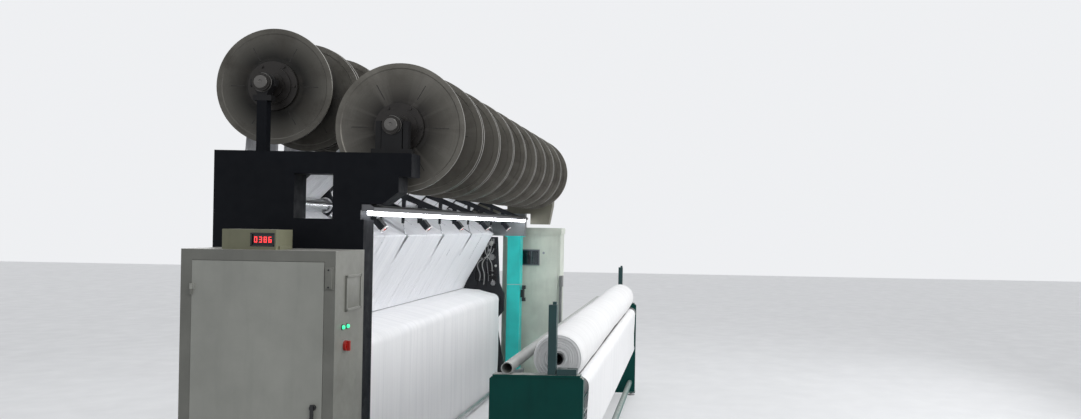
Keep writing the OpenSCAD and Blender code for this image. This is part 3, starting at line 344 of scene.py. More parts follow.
def piece(name, bm, body, material, smooth=35.0):
    """Turns a bmesh into a piece that rides on a body, or is left on no body where body is None."""
    bmesh.ops.recalc_face_normals(bm, faces=bm.faces)
    obj = new_object(name, bm)
    mesh = obj.data
    for one in material if isinstance(material, (list, tuple)) else [material]:
        mesh.materials.append(one)
    if smooth:
        mesh.polygons.foreach_set("use_smooth", [True] * len(mesh.polygons))
        mesh.set_sharp_from_angle(angle=math.radians(smooth))
    if body:
        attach(obj, body)
    return obj


def block(bm, lo, hi, bevel, slot=0, steps=2):
    """A box between two corners, with rounded edges."""
    verts = bmesh.ops.create_cube(bm, size=1.0)["verts"]
    size = Vector(hi) - Vector(lo)
    mid = (Vector(hi) + Vector(lo)) / 2
    for v in verts:
        v.co = Vector((v.co.x * size.x, v.co.y * size.y, v.co.z * size.z)) + mid
    faces = {f for v in verts for f in v.link_faces}
    edges = list({e for v in verts for e in v.link_edges})
    made = bmesh.ops.bevel(bm, geom=edges, offset=bevel, segments=steps, affect="EDGES", profile=0.6)
    for f in set(made["faces"]) | {f for f in faces if f.is_valid}:
        f.material_index = slot


def lathe(bm, profile, at, axis="X", segments=48, slot=0, wobble=None):
    """Revolves (along, radius) points round an axis through at. A radius of 0 closes an end."""
    rings = []
    for along, radius in profile:
        ring = []
        for i in range(segments if radius > 1e-6 else 1):
            a = TAU * i / segments
            r = radius + (wobble(along, a) if wobble else 0.0)
            ring.append(bm.verts.new(place_on(axis, at, along, r * math.cos(a), r * math.sin(a))))
        rings.append(ring)
    for lower, upper in zip(rings, rings[1:]):
        for i in range(segments):
            j = (i + 1) % segments
            corners = [lower[i % len(lower)], lower[j % len(lower)], upper[j % len(upper)],
                       upper[i % len(upper)]]
            corners = [v for k, v in enumerate(corners) if v not in corners[:k]]
            if len(corners) > 2:
                bm.faces.new(corners).material_index = slot


def place_on(axis, at, along, u, v):
    """The point that far along an axis through at, and u, v across it."""
    if axis == "X":
        return (at[0] + along, at[1] + u, at[2] + v)
    if axis == "Y":
        return (at[0] + v, at[1] + along, at[2] + u)
    return (at[0] + u, at[1] + v, at[2] + along)


def closed_lathe(bm, profile, at, axis="X", segments=48, slot=0, wobble=None):
    """Revolves a closed outline, so that the piece is a ring."""
    lathe(bm, list(profile) + [profile[0]], at, axis, segments, slot, wobble)
    bmesh.ops.remove_doubles(bm, verts=bm.verts, dist=1e-6)


def hex_bolt(bm, at, size, slot):
    """A hexagon head with a chamfer, on a washer, facing -X."""
    lathe(bm, [(0, 0), (0, size * 1.15), (-size * 0.18, size * 1.15), (-size * 0.18, 0)], at, "X", 16, slot)
    lathe(bm, [(-size * 0.18, 0), (-size * 0.18, size * 0.88), (-size * 0.78, size * 0.88),
               (-size * 0.92, size * 0.72), (-size * 0.92, 0)], at, "X", 6, slot)


def tube(bm, points, radius, slot):
    """A round tube along points, closed at both ends."""
    sides = 8
    points = [Vector(p) for p in points]
    up = Vector((0.01, 0.02, 1.0))
    rings = []
    for i, p in enumerate(points):
        ahead = (points[min(i + 1, len(points) - 1)] - points[max(i - 1, 0)]).normalized()
        side = ahead.cross(up)
        if side.length < 1e-3:
            side = ahead.cross(Vector((1, 0, 0)))
        side.normalize()
        up = side.cross(ahead)
        turns = [TAU * k / sides for k in range(sides)]
        rings.append([bm.verts.new(p + radius * (math.cos(a) * side + math.sin(a) * up)) for a in turns])
    for a, b in zip(rings, rings[1:]):
        for k in range(sides):
            m = (k + 1) % sides
            bm.faces.new([a[k], a[m], b[m], b[k]]).material_index = slot
    bm.faces.new(rings[0]).material_index = slot
    bm.faces.new(list(reversed(rings[-1]))).material_index = slot


def curve_points(knots, steps):
    """Smooth points through the knots."""
    knots = [Vector(k) for k in knots]
    padded = [2 * knots[0] - knots[1], *knots, 2 * knots[-1] - knots[-2]]
    out = []
    for i in range(1, len(padded) - 2):
        p0, p1, p2, p3 = padded[i - 1:i + 3]
        for s in range(steps):
            t = s / steps
            out.append(0.5 * (2 * p1 + (p2 - p0) * t + (2 * p0 - 5 * p1 + 4 * p2 - p3) * t * t
                              + (3 * p1 - p0 - 3 * p2 + p3) * t ** 3))
    out.append(knots[-1])
    return out


# Yarn and cloth
def heading(a, b):
    """The direction of the line that touches two circles, each (centre, radius, side)."""
    d = (b[0][0] - a[0][0], b[0][1] - a[0][1])
    return math.atan2(d[1], d[0]) - math.asin((b[2] * b[1] - a[2] * a[1]) / math.hypot(*d))


def wrap_path(wraps, step=0.3):
    """Points (y, z, normal y, normal z, length so far) of the line that runs over all circles."""
    last = len(wraps) - 1
    heads = [heading(wraps[i], wraps[i + 1]) for i in range(last)]
    out = []
    for i, (centre, radius, side) in enumerate(wraps):
        a0, a1 = heads[max(i - 1, 0)], heads[min(i, last - 1)]
        turn = 0.0
        if 0 < i < last and radius > 0:
            turn = (a1 - a0) % TAU if side > 0 else -((a0 - a1) % TAU)
        steps = 0 if turn == 0 else max(1, math.ceil(abs(turn) / step))
        for s in range(steps + 1):
            a = a0 + (turn * s / steps if steps else 0.0)
            if i == 0:
                a = heads[0]
            left = (-math.sin(a), math.cos(a))
            y, z = centre[0] - side * radius * left[0], centre[1] - side * radius * left[1]
            length = out[-1][4] + math.hypot(y - out[-1][0], z - out[-1][1]) if out else 0.0
            out.append((y, z, left[0], left[1], length))
    return out


def densify(path, step):
    """Adds points to the long straight runs."""
    out = [path[0]]
    for a, b in zip(path, path[1:]):
        parts = max(1, math.ceil((b[4] - a[4]) / step))
        for s in range(1, parts + 1):
            t = s / parts
            out.append(tuple(p + (q - p) * t for p, q in zip(a, b)))
    return out


def over(at, r, side):
    """A circle that the sheet runs round, clear of the roller itself."""
    return (at, r + SHEET_OFF, side)


FRONT_PATH = wrap_path([over(FRONT_AXIS, FRONT_YARN, -1), over(FRONT_ROLLER, ROLLER_R, -1),
                        over(FRONT_RAIL, RAIL_R, 1), (FRONT_EYES, 0.0, 1)])
BACK_PATH = wrap_path([over(BACK_AXIS, BACK_YARN, -1), over(BACK_ROLLER, ROLLER_R, -1),
                       over(BACK_RAIL, RAIL_R, 1), (BACK_EYES, 0.0, 1)])
CLOTH_PATH = wrap_path([(NEEDLES, 0.0, 1), *(over(*roller) for roller in CLOTH_ROLLERS),
                        ((ROLL_Y - 0.114, DRIVE_Z + DRIVE_R + SHEET_OFF), 0.0, -1)], 0.2)

# A row of beams with its yarn. Closing is where along the path, from and to, the gaps between the sections
# close, and the gap left. Needles is the way on from the guides. The seeds are for the warp and the windings.
Row = namedtuple("Row", "name axis flange_r wound_r path closing needles seeds")
BELOW_RAIL, GUIDES = FRONT_PATH[-2][4] + 0.01, BACK_PATH[-1][4]
FRONT = Row("front", FRONT_AXIS, FRONT_R, FRONT_YARN, FRONT_PATH, (BELOW_RAIL, BELOW_RAIL + 0.29, 0.0035),
            [(0.781, 1.290), (0.800, 1.243)], (11, 21))
BACK = Row("back", BACK_AXIS, BACK_R, BACK_YARN, BACK_PATH, (GUIDES - 0.06, GUIDES, 0.010),
           [(0.8215, 1.290), (0.806, 1.243)], (12, 22))


def gap_at(k):
    """The gap between the yarn of sections k - 1 and k where it runs onto the guide roller."""
    return WIDE if k % 2 else NARROW


def cut_path(points, marks):
    """The path in lengths that share their end points, cut at these distances along it."""
    lengths, rest, snap = [], list(points), 0.0005
    for mark in marks:
        k = next(i for i, p in enumerate(rest) if p[4] > mark + snap)
        if abs(rest[k - 1][4] - mark) <= snap:  # a point of the path is there already
            cut = rest[k - 1]
            lengths.append(rest[:k])
        else:
            t = (mark - rest[k - 1][4]) / (rest[k][4] - rest[k - 1][4])
            cut = tuple(p + (q - p) * t for p, q in zip(rest[k - 1], rest[k]))
            lengths.append(rest[:k] + [cut])
        rest = [cut] + rest[k:]
    return lengths + [rest]


def at_height(points, after, z):
    """The distance along the path, past a given one, at which it comes down to height z."""
    a, b = next((p, q) for p, q in zip(points, points[1:]) if p[4] >= after and q[1] <= z <= p[1])
    return a[4] + (b[4] - a[4]) * (a[1] - z) / (a[1] - b[1])


def yarn_ribbons(row, material):
    """One warp: flat bundles of ends that fan out from each winding to the needle bed's width.

    It is in four lengths, cut where it runs on the tension rail and the guide bar."""
    rng = random.Random(row.seeds[0])
    path, bundles, rise = row.path, 92, 0.00035  # bundles a section, half a bundle's thickness
    # the yarn runs straight until it is clear of the flanges, and is fanned out before the guide roller
    clear = math.sqrt(row.flange_r ** 2 - (row.wound_r + SHEET_OFF) ** 2) + 0.012
    first_run = path[1][4]
    fanned = first_run - 0.020
    points = [path[0]]
    for s in (clear, fanned):
        t = s / first_run
        points.append(tuple(p + (q - p) * t for p, q in zip(path[0], path[1])))
    points += path[1:-1] + densify(path[-2:], 0.05)[1:]
    eyes = points[-1]
    for y, z in row.needles:
        points.append((y, z, eyes[2], eyes[3], eyes[4] + math.hypot(y - eyes[0], z - eyes[1])))

    rail, bar = row.name + "_tension_rail", row.name + "_guide_bar"
    on_rail = [p[4] for p in path if abs(p[4] - path[-2][4]) < 0.03]  # distances of the points that lie on it
    low, high = (corner[2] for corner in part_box(bar))
    entry = at_height(points, on_rail[-1], high + 0.008)
    leave = at_height(points, on_rail[-1], max(low - 0.004, points[-1][1] + 0.012))
    before_rail, after_rail, before_bar = 0.20, 0.16, 0.25  # lengths before the rail, after it and before the bar, for the table below; the last also places a cut
    marks = [(on_rail[0] + on_rail[-1]) / 2, entry - before_bar - 0.010, (entry + leave) / 2]
    lengths = cut_path(points, marks)
    meshes = [bmesh.new() for _ in lengths]
    covered = [0.0] * len(lengths)
    close_from, close_to, close_gap = row.closing
    for k in range(COUNT):
        left = ROW_X + k * PITCH
        side = BEAM_GAP / 2 + INSET + 0.004
        narrow = (left + side, left + PITCH - side)
        wide = (left + gap_at(k) / 2, left + PITCH - gap_at(k + 1) / 2)
        for i in range(bundles):
            share = rng.uniform(0.80, 0.93) if rng.random() > 0.05 else rng.uniform(0.3, 0.6)
            shift = rng.uniform(-0.0002, 0.0002)
            for part, (bm, run) in enumerate(zip(meshes, lengths)):
                rings = []
                for y, z, ny, nz, s in run:
                    t = min(1.0, max(0.0, (s - clear) / (fanned - clear)))
                    x0 = narrow[0] + (wide[0] - narrow[0]) * t
                    x1 = narrow[1] + (wide[1] - narrow[1]) * t
                    if s > close_from:
                        shut = min(1.0, (s - close_from) / (close_to - close_from))
                        shut = shut * shut * (3 - 2 * shut)
                        x0 += (left + close_gap - x0) * shut
                        x1 += (left + PITCH - close_gap - x1) * shut
                    pitch = (x1 - x0) / bundles
                    mid = x0 + pitch * (i + 0.5) + shift
                    half = pitch * share / 2
                    rings.append([bm.verts.new((mid + sx * half, y + sn * rise * ny, z + sn * rise * nz))
                                  for sx, sn in ((-1, -1), (1, -1), (1, 1), (-1, 1))])
                covered[part] += (wide[1] - wide[0]) / bundles * share * (run[-1][4] - run[0][4])
                for a, b in zip(rings, rings[1:]):
                    for m in range(4):
                        w = (m + 1) % 4
                        bm.faces.new([a[m], a[w], b[w], b[m]])
                bm.faces.new(rings[0])
                bm.faces.new(list(reversed(rings[-1])))

    # for each length: its name's ending, what it rests on, and the blend's two bodies, start and end
    parts = (("", [row.name + "_yarn_windings", row.name + "_guide_roller"], "frame", rail,
              on_rail[0] - before_rail, on_rail[0]),
             ("_below_rail", [rail], rail, "frame", on_rail[-1], on_rail[-1] + after_rail),
             ("_to_guides", [bar], "frame", "guide_hanger", entry - before_bar, entry),
             ("_to_needles", [bar], "guide_hanger", "frame", leave, points[-1][4]))
    node = row.name + "_yarn_sheet"
    for (ending, rests_on, first, second, start, end), bm, run, area in zip(parts, meshes, lengths, covered):
        obj = piece(row.name + "_warp" + ending, bm, None, material, smooth=0)
        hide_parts(node)
        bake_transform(obj)


def winding_rows(row, material):
    """The yarn on the beams: each package slightly barrel-shaped, with ridges where ends build up."""
    rng = random.Random(row.seeds[1])
    bm = bmesh.new()
    radius, edge, steps = row.wound_r, 0.004, 34
    lo, hi = INSET, PITCH - BEAM_GAP - INSET
    for k in range(COUNT):
        profile = [(lo, BARREL_R), (lo, radius - 0.010), (lo + edge, radius - 0.003)]
        for i in range(1, steps):
            t = i / steps
            dip = 0.0016 * rng.random() + 0.0012 * math.sin(t * math.pi * 7 + k)
            profile.append((lo + edge + (hi - lo - 2 * edge) * t, radius - 0.0006 - abs(dip)))
        profile += [(hi - edge, radius - 0.003), (hi, radius - 0.010), (hi, BARREL_R)]
        closed_lathe(bm, profile, (ROW_X + k * PITCH + BEAM_GAP / 2, *row.axis), "X", 56)
    node = row.name + "_yarn_windings"
    obj = piece(row.name + "_packages", bm, row.name + "_beams", material, smooth=50)
    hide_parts(node)


def cloth_web(material):
    """The knitted cloth from the needles to the winder: taut on the rollers, slack and creased between."""
    path = densify(CLOTH_PATH, 0.022)
    total, half, columns = path[-1][4], CLOTH_HALF, 200
    rollers = [(at, r + 0.002) for at, r, _ in CLOTH_ROLLERS] + [((ROLL_Y, ROLL_Z), ROLL_R)]
    slack_at, end, hem = 0.22, 0.08, 0.05  # distance from a roller, length at both ends, width at both sides
    bm = bmesh.new()
    rows = []
    for y, z, ny, nz, s in path:
        near = min(math.hypot(y - at[0], z - at[1]) - r for at, r in rollers)
        loose = min(1.0, max(0.0, near / slack_at)) * min(s / end, (total - s) / end, 1.0)
        row = []
        for c in range(columns + 1):
            x = -half + 2 * half * c / columns
            wave = 0.0042 * math.sin(x * 7.1 + 0.8 * math.sin(s * 1.7) + s * 0.6)
            wave += 0.0028 * math.sin(x * 17.3 + 1.9 * math.sin(s * 2.3 + x))
            wave += 0.0012 * math.sin(x * 41.0 + s * 3.1)
            edge = max(0.0, (abs(x) - half + hem) / hem)
            lift = loose * (wave + 0.004 * edge * math.sin(s * 5.0))
            x -= 0.006 * loose * edge * math.copysign(1, x)
            row.append(bm.verts.new((x, y + ny * lift, z + nz * lift)))
        rows.append(row)
    for a, b in zip(rows, rows[1:]):
        for c in range(columns):
            bm.faces.new([a[c], a[c + 1], b[c + 1], b[c]])
    obj = piece("knitted_cloth", bm, "frame", material, smooth=60)
    solid = obj.modifiers.new("thickness", "SOLIDIFY")
    solid.thickness, solid.offset = CLOTH_T, 0.0
    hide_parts("fabric_web")


def cloth_roll(material, core_material):
    """Rolled cloth: rounded shoulders, shallow bands along it, layered ends, and a tube through it."""
    rng = random.Random(5)
    steps, bore = 96, 0.0365
    layer, depth, rim = 0.008, 0.010, 0.004  # pitch of the end's layers, how deep they lie, and the outermost
    swell = [rng.uniform(-1, 1) for _ in range(steps + 1)]
    outer = []
    for i in range(steps + 1):
        t = i / steps
        soft = 0.0012 * swell[i] + 0.0024 * math.sin(t * 9.0) + 0.0016 * math.sin(t * 31.0)
        shoulder = 0.010 * max(0.0, 1 - min(t, 1 - t) * 2 * ROLL_HALF / 0.05) ** 2
        along = -ROLL_HALF + rim + (2 * ROLL_HALF - 2 * rim) * t
        outer.append((along, ROLL_R - 0.0045 + soft - shoulder))
    layers = []  # how deep a layer lies in the end, and its radius
    r = outer[0][1] - layer
    while r > 0.048:
        layers += [(rng.uniform(0.0, 0.005), r), (rng.uniform(0.004, depth), r - 0.003)]
        r -= layer
    profile = outer + [(ROLL_HALF - a, q) for a, q in reversed(layers)]
    profile += [(ROLL_HALF - depth, bore), (-ROLL_HALF + depth, bore)]
    profile += [(-ROLL_HALF + a, q) for a, q in reversed(layers)]

    def wobble(along, a):
        return 0.0009 * math.sin(3 * a + along * 2.2) + 0.0006 * math.sin(7 * a - along * 4.0)
    bm = bmesh.new()
    closed_lathe(bm, profile, (0, ROLL_Y, ROLL_Z), segments=64, wobble=wobble)
    roll = piece("cloth_roll", bm, "fabric_roll", material, smooth=60)
    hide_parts("fabric_roll")
    bm = bmesh.new()
    core_bore, chamfer = 0.029, 0.002
    closed_lathe(bm, [(-ROLL_HALF, core_bore), (-ROLL_HALF, CORE_R - chamfer),
                      (-ROLL_HALF + chamfer, CORE_R), (ROLL_HALF - chamfer, CORE_R),
                      (ROLL_HALF, CORE_R - chamfer), (ROLL_HALF, core_bore)], (0, ROLL_Y, ROLL_Z), segments=40)
    piece("roll_tube", bm, "fabric_roll", core_material)


# Fittings
def placed(bm, matrix, build):
    """Adds what build makes, moved by the matrix."""
    part = bmesh.new()
    build(part)
    part.transform(matrix)
    mesh = bpy.data.meshes.new("part")
    part.to_mesh(mesh)
    part.free()
    bm.from_mesh(mesh)
    bpy.data.meshes.remove(mesh)


def slot_clips(row, material):
    """Rubber clips in the yarn-end slots of all flanges of a row."""
    bm = bmesh.new()
    half, thick, inset, per_flange = 0.0023, 0.007, 0.0035, 6

    def clip(part):
        block(part, (0.0, -half, row.flange_r * 0.5 + 0.001), (thick, half, row.flange_r * 0.76 - 0.001),
              0.0004, 0, 1)
    for k in range(COUNT):
        x0 = ROW_X + k * PITCH + BEAM_GAP / 2
        for i in range(per_flange):
            a = math.radians(k * 47 + 90 + i * 360 / per_flange)
            turn = Matrix.Rotation(a + math.pi, 4, "X")
            for lo in (inset, PITCH - BEAM_GAP - inset - thick):
                placed(bm, Matrix.Translation((x0 + lo, *row.axis)) @ turn, clip)
    piece(row.name + "_slot_clips", bm, row.name + "_beams", material)


def nose_cap(row, material):
    """Turned cap with a centre hole on the near end of a beam shaft, and a collar behind it."""
    bm = bmesh.new()
    lathe(bm, [(-0.0004, 0.040), (-0.0028, 0.038), (-0.0042, 0.030), (-0.0042, 0.0125), (-0.0015, 0.010),
               (-0.0010, 0.0)], (NOSE_X, *row.axis))
    closed_lathe(bm, [(-0.0016, 0.0462), (-0.0016, 0.0575), (-0.0002, 0.059), (0.0008, 0.059),
                      (0.0016, 0.0575), (0.0016, 0.0462)], (RING_X, *row.axis))
    piece(row.name + "_nose_cap", bm, row.name + "_beams", material)


def counter_face(bezel, lit):
    """Dark window of the counter with four lit figures."""
    x = NEAR_CAB_X + 0.066
    top = NEAR_CAB_H
    bm = bmesh.new()
    block(bm, (x - 0.0015, 0.5155, top + 0.0245), (x + 0.0005, 0.6345, top + 0.0875), 0.0006)
    rim = ((0.508, 0.642, 0.086, 0.094), (0.508, 0.642, 0.018, 0.026), (0.508, 0.517, 0.02, 0.09),
           (0.633, 0.642, 0.02, 0.09))
    for y0, y1, z0, z1 in rim:
        block(bm, (x - 0.0085, y0, top + z0), (x - 0.0045, y1, top + z1), 0.001)
    piece("counter_window", bm, "frame", bezel)

    bm = bmesh.new()
    w, h, t = 0.016, 0.032, 0.0036  # a figure's width and height, and its bars' width
    bars = {"a": (0, w, h - t, h), "g": (0, w, (h - t) / 2, (h + t) / 2), "d": (0, w, 0, t),
            "f": (0, t, h / 2, h), "b": (w - t, w, h / 2, h), "e": (0, t, 0, h / 2), "c": (w - t, w, 0, h / 2)}
    base = top + 0.040
    for i, figure in enumerate(("abcdef", "abcdg", "abcdefg", "acdefg")):
        left = 0.6225 - i * 0.0265
        for key in figure:
            u0, u1, v0, v1 = bars[key]
            block(bm, (x - 0.0035, left - u1, base + v0), (x - 0.0016, left - u0, base + v1), 0.0005, 0, 1)
    piece("counter_figures", bm, "frame", lit)


def sensor_faces(shell, glow_white, glow_red):
    """Pale hood rim, lit lens and red centre of each yarn watching head."""
    def face(part):
        closed_lathe(part, [(-0.0785, 0.0225), (-0.0785, 0.0335), (-0.0765, 0.0350), (-0.0700, 0.0345),
                            (-0.0700, 0.0338), (-0.0775, 0.0330), (-0.0775, 0.0225)], (0, 0, 0), "Z", 36, 0)
        lathe(part, [(-0.0725, 0.0), (-0.0745, 0.008), (-0.0740, 0.016), (-0.0715, 0.0215)], (0, 0, 0), "Z",
              32, 1)
        lathe(part, [(-0.0775, 0.0), (-0.0770, 0.006), (-0.0745, 0.0085)], (0, 0, 0), "Z", 24, 2)
    bm = bmesh.new()
    beside_arm, y, z, tilt = 0.047, 0.355, 1.985, math.radians(-40)
    for x in ARMS:
        placed(bm, Matrix.Translation((x + beside_arm, y, z)) @ Matrix.Rotation(tilt, 4, "X"), face)
    piece("sensor_faces", bm, "frame", [shell, glow_white, glow_red])


def cabinet_fittings(paint, pane, dark, green):
    """Framed pane, lamps, switch plate and corner box of the near cabinet."""
    y = NEAR_CAB_Y - 0.004
    bm = bmesh.new()
    x0, x1, z0, z1, w, lap = -2.820, -2.600, 1.465, 1.670, 0.016, 0.014  # the frame, its width, the pane's lap
    for lo, hi in (((x0, z0), (x1, z0 + w)), ((x0, z1 - w), (x1, z1)), ((x0, z0), (x0 + w, z1)),
                   ((x1 - w, z0), (x1, z1))):
        block(bm, (lo[0], y - 0.007, lo[1]), (hi[0], y + 0.001, hi[1]), 0.002, 0)
    block(bm, (x0 + lap, y - 0.0025, z0 + lap), (x1 - lap, y + 0.001, z1 - lap), 0.0006, 1)
    block(bm, (-2.9630, 0.150, 1.597), (-2.9580, 0.200, 1.722), 0.002, 0)  # the box's base, then its lid
    block(bm, (-2.9720, 0.156, 1.604), (-2.9625, 0.194, 1.715), 0.004, 0)
    for z in (1.612, 1.707):
        hex_bolt(bm, (-2.9722, 0.175, z), 0.0045, 2)
    for x in LAMPS_X:
        closed_lathe(bm, [(-0.0035, 0.0115), (-0.0035, 0.016), (-0.001, 0.0175), (0.0, 0.0175), (0.0, 0.0115)],
                     (x, NEAR_CAB_Y, LAMP_Z), "Y", 28, 2)
    block(bm, (-2.848, NEAR_CAB_Y - 0.0002, 1.235), (-2.772, NEAR_CAB_Y + 0.002, 1.311), 0.0008, 2)
    piece("near_cabinet_fittings", bm, "frame", [paint, pane, dark])
    bm = bmesh.new()
    for x in LAMPS_X:
        lathe(bm, [(0.0, 0.0112), (-0.010, 0.0112), (-0.0135, 0.0090), (-0.0155, 0.0045), (-0.0160, 0.0)],
              (x, NEAR_CAB_Y, LAMP_Z), "Y", 28)
    piece("near_cabinet_lamps", bm, "frame", green)


def screen(glass, plate, keys):
    """Glass, key plate and keys of the operator panel, and the lock of the door it is on."""
    x = FAR_CAB_X
    bm = bmesh.new()
    block(bm, (x - 0.0105, 0.1015, 1.5135), (x - 0.0078, 0.1985, 1.6745), 0.0008, 0)
    block(bm, (x - 0.0135, 0.006, 1.512), (x - 0.0118, 0.092, 1.676), 0.0008, 1)
    for i in range(3):
        for j in range(5):
            y0, z0 = 0.012 + i * 0.0262, 1.520 + j * 0.0305
            block(bm, (x - 0.0158, y0, z0), (x - 0.0132, y0 + 0.020, z0 + 0.022), 0.0015, 2)
    piece("screen_and_keys", bm, "far_door", [glass, plate, keys])
    bm = bmesh.new()
    lathe(bm, [(-0.0052, 0.0), (-0.0075, 0.004), (-0.0075, 0.0125), (-0.0055, 0.0145), (-0.0050, 0.0145)],
          (x, -0.051, 1.650), "X", 28, 0)
    block(bm, (x - 0.0085, -0.0525, 1.643), (x - 0.0070, -0.0495, 1.657), 0.0004, 1, 1)
    piece("far_door_lock", bm, "far_door", [keys, glass])


def far_end_fittings(iron, metal, pale):
    """Oil pipes, flanges and covers on the aisle side of the far end frame."""
    rng = random.Random(8)
    bm = bmesh.new()
    face = END_FRAME_X
    flanges = ((0.500, 1.420, 0.046, 0), (0.487, 1.600, 0.034, 1), (0.625, 1.690, 0.050, 0),
               (0.500, 1.762, 0.030, 2), (0.640, 1.792, 0.026, 1), (0.470, 1.300, 0.030, 1),
               (0.560, 1.735, 0.020, 2), (0.520, 1.680, 0.016, 1), (0.445, 1.500, 0.014, 2))
    for y, z, r, kind in flanges:
        lathe(bm, [(0.0, r), (-0.010, r), (-0.013, r * 0.92), (-0.013, r * 0.55), (-0.024, r * 0.5),
                   (-0.027, r * 0.42), (-0.027, 0.0)], (face, y, z), "X", 32, kind)
        for i in range(5):
            a = TAU * i / 5
            at = (face - 0.013, y + r * 0.75 * math.cos(a), z + r * 0.75 * math.sin(a))
            hex_bolt(bm, at, r * 0.10, 1)
    for i in range(9):
        y0, y1 = 0.445 + 0.026 * i, 0.455 + 0.027 * ((i * 4) % 9)
        x = face - 0.012 - 0.004 * (i % 3)
        knots = [(x, y0, 1.262 + 0.02 * (i % 4)), (x, y0 + rng.uniform(-0.01, 0.02), 1.40),
                 (x, y0 + 0.02, 1.53), (x, y1, 1.66), (x, y1 + rng.uniform(-0.02, 0.01), 1.815)]
        tube(bm, curve_points(knots, 7), rng.uniform(0.003, 0.006), 2 if i % 4 == 1 else i % 2)
    covers = ((0.435, 1.345, 0.050, 0.040), (0.575, 1.610, 0.080, 0.050), (0.440, 1.700, 0.036, 0.060),
              (0.660, 1.640, 0.034, 0.090))
    for y, z, w, h in covers:
        block(bm, (face - 0.022, y, z), (face + 0.001, y + w, z + h), 0.003, 0)
    piece("far_end_pipes", bm, "frame", [iron, metal, pale])


def post_joint(pale):
    """The strip where the two lengths of the far post meet."""
    bm = bmesh.new()
    block(bm, (2.3993, 0.1743, 1.281), (2.5507, 0.3257, 1.287), 0.0005)
    piece("post_joint", bm, "frame", pale)


# Light and floor
def stage():
    """A pale backdrop and floor, lit from above and from three sides.

    Camera, mirrors and glass see a lighter backdrop than the one that lights the machine."""
    world = bpy.data.worlds.new("world")
    bpy.context.scene.world = world
    world.use_nodes = True
    tree = world.node_tree
    back = tree.nodes["Background"]
    rays = tree.nodes.new("ShaderNodeLightPath").outputs
    direct = rays["Is Camera Ray"]
    for kind in ("Is Glossy Ray", "Is Transmission Ray"):
        either = tree.nodes.new("ShaderNodeMath")
        either.operation = "MAXIMUM"
        tree.links.new(direct, either.inputs[0])
        tree.links.new(rays[kind], either.inputs[1])
        direct = either.outputs[0]
    mix = tree.nodes.new("ShaderNodeMix")
    mix.data_type = "RGBA"
    mix.inputs["A"].default_value = (0.40, 0.41, 0.43, 1)
    mix.inputs["B"].default_value = (0.86, 0.87, 0.89, 1)
    tree.links.new(direct, mix.inputs["Factor"])
    tree.links.new(mix.outputs["Result"], back.inputs["Color"])

    bm = bmesh.new()
    size = 30.0
    corners = ((-size, -size, 0), (size, -size, 0), (size, size, 0), (-size, size, 0))
    bm.faces.new([bm.verts.new(p) for p in corners])
    floor = new_object("floor", bm)
    n = Nodes("floor")
    tint = n.mix(n.span(n.noise(0.7, detail=5.0), 0.3, 0.7), (0.30, 0.305, 0.31), (0.33, 0.335, 0.34))
    rays = n.add("ShaderNodeLightPath").outputs
    direct = n.math("MAXIMUM", n.math("MAXIMUM", rays["Is Camera Ray"], rays["Is Glossy Ray"]),
                    rays["Is Transmission Ray"])
    n.set(Emission_Color=(0.97, 0.98, 1.0, 1.0))
    backdrop_match = 0.38  # lifts the floor to the backdrop's tone, for the eye only
    n.link(n.math("MULTIPLY", direct, backdrop_match), n.shader.inputs["Emission Strength"])
    n.color(tint)
    n.rough(n.noise(3.0), 0.3, 0.7, 0.5, 0.7)
    n.bump(n.noise(90.0), 0.05)
    floor.data.materials.append(n.mat)

    lamps = (("overhead", (0.9, -2.2, 6.2), (0.9, 0.0, 1.5), (8.0, 2.5), 128.0),
             ("aisle", (0.3, -6.0, 3.0), (0.3, 0.0, 1.3), (9.0, 2.6), 235.0),
             ("near_end", (-7.0, -3.5, 4.6), (-2.0, 0.2, 1.6), (3.0, 3.0), 76.0),
             ("behind", (0.5, 4.5, 5.2), (0.0, 0.6, 1.6), (8.0, 2.5), 140.0))
    for name, at, aim, size, power in lamps:
        data = bpy.data.lights.new(name, "AREA")
        data.shape, data.size, data.size_y = "RECTANGLE", *size
        data.energy = power
        lamp = bpy.data.objects.new(name, data)
        bpy.context.scene.collection.objects.link(lamp)
        lamp.location = at
        lamp.rotation_mode = "QUATERNION"
        lamp.rotation_quaternion = (Vector(aim) - Vector(at)).to_track_quat("-Z", "Y")


# The scene
make_camera()
stage()

black = painted("black_paint", (0.0045, 0.0055, 0.0080), 0.6, dust=0.04, grime=0.15, level=0.12)
charcoal = painted("charcoal_paint", (0.020, 0.022, 0.026), 0.5, dust=0.15, level=0.3)
dark_iron = painted("dark_iron", (0.011, 0.011, 0.012), 0.42, dust=0.06, metal=0.3, level=0.3)
oily_iron = painted("oily_iron", (0.034, 0.036, 0.040), 0.36, dust=0.1, metal=0.3, level=0.5)
grey_paint = painted("grey_paint", (0.20, 0.215, 0.22), 0.45, dust=0.4)
teal_bed = painted("teal_bed", (0.025, 0.25, 0.225), 0.45, dust=0.45)
teal_post = painted("teal_post", (0.030, 0.62, 0.58), 0.36, dust=0.3, grime=0.1, level=0.35)
cream = painted("cream_paint", (0.150, 0.145, 0.110), 0.5, dust=0.4)
green_panel = painted("green_panel", (0.001, 0.056, 0.047), 0.45, dust=0.8, grime=0.2, level=0.15)
green_rail = painted("green_rail", (0.012, 0.10, 0.085), 0.45, dust=0.6)
green_post = painted("green_post", (0.006, 0.040, 0.042), 0.4, dust=0.3)
near_grey = painted("near_cabinet_grey", (0.225, 0.226, 0.202), 0.42, dust=0.5, grime=0.12, level=0.35)
door_grey = painted("near_door_grey", (0.40, 0.405, 0.365), 0.42, dust=0.5, grime=0.16, spread=0.12)
sage = painted("sage_paint", (0.62, 0.66, 0.58), 0.42, dust=0.45, grime=0.2)
box_grey = painted("box_grey", (0.17, 0.18, 0.175), 0.5)
olive = painted("olive_box", (0.20, 0.20, 0.13), 0.45, dust=0.5)
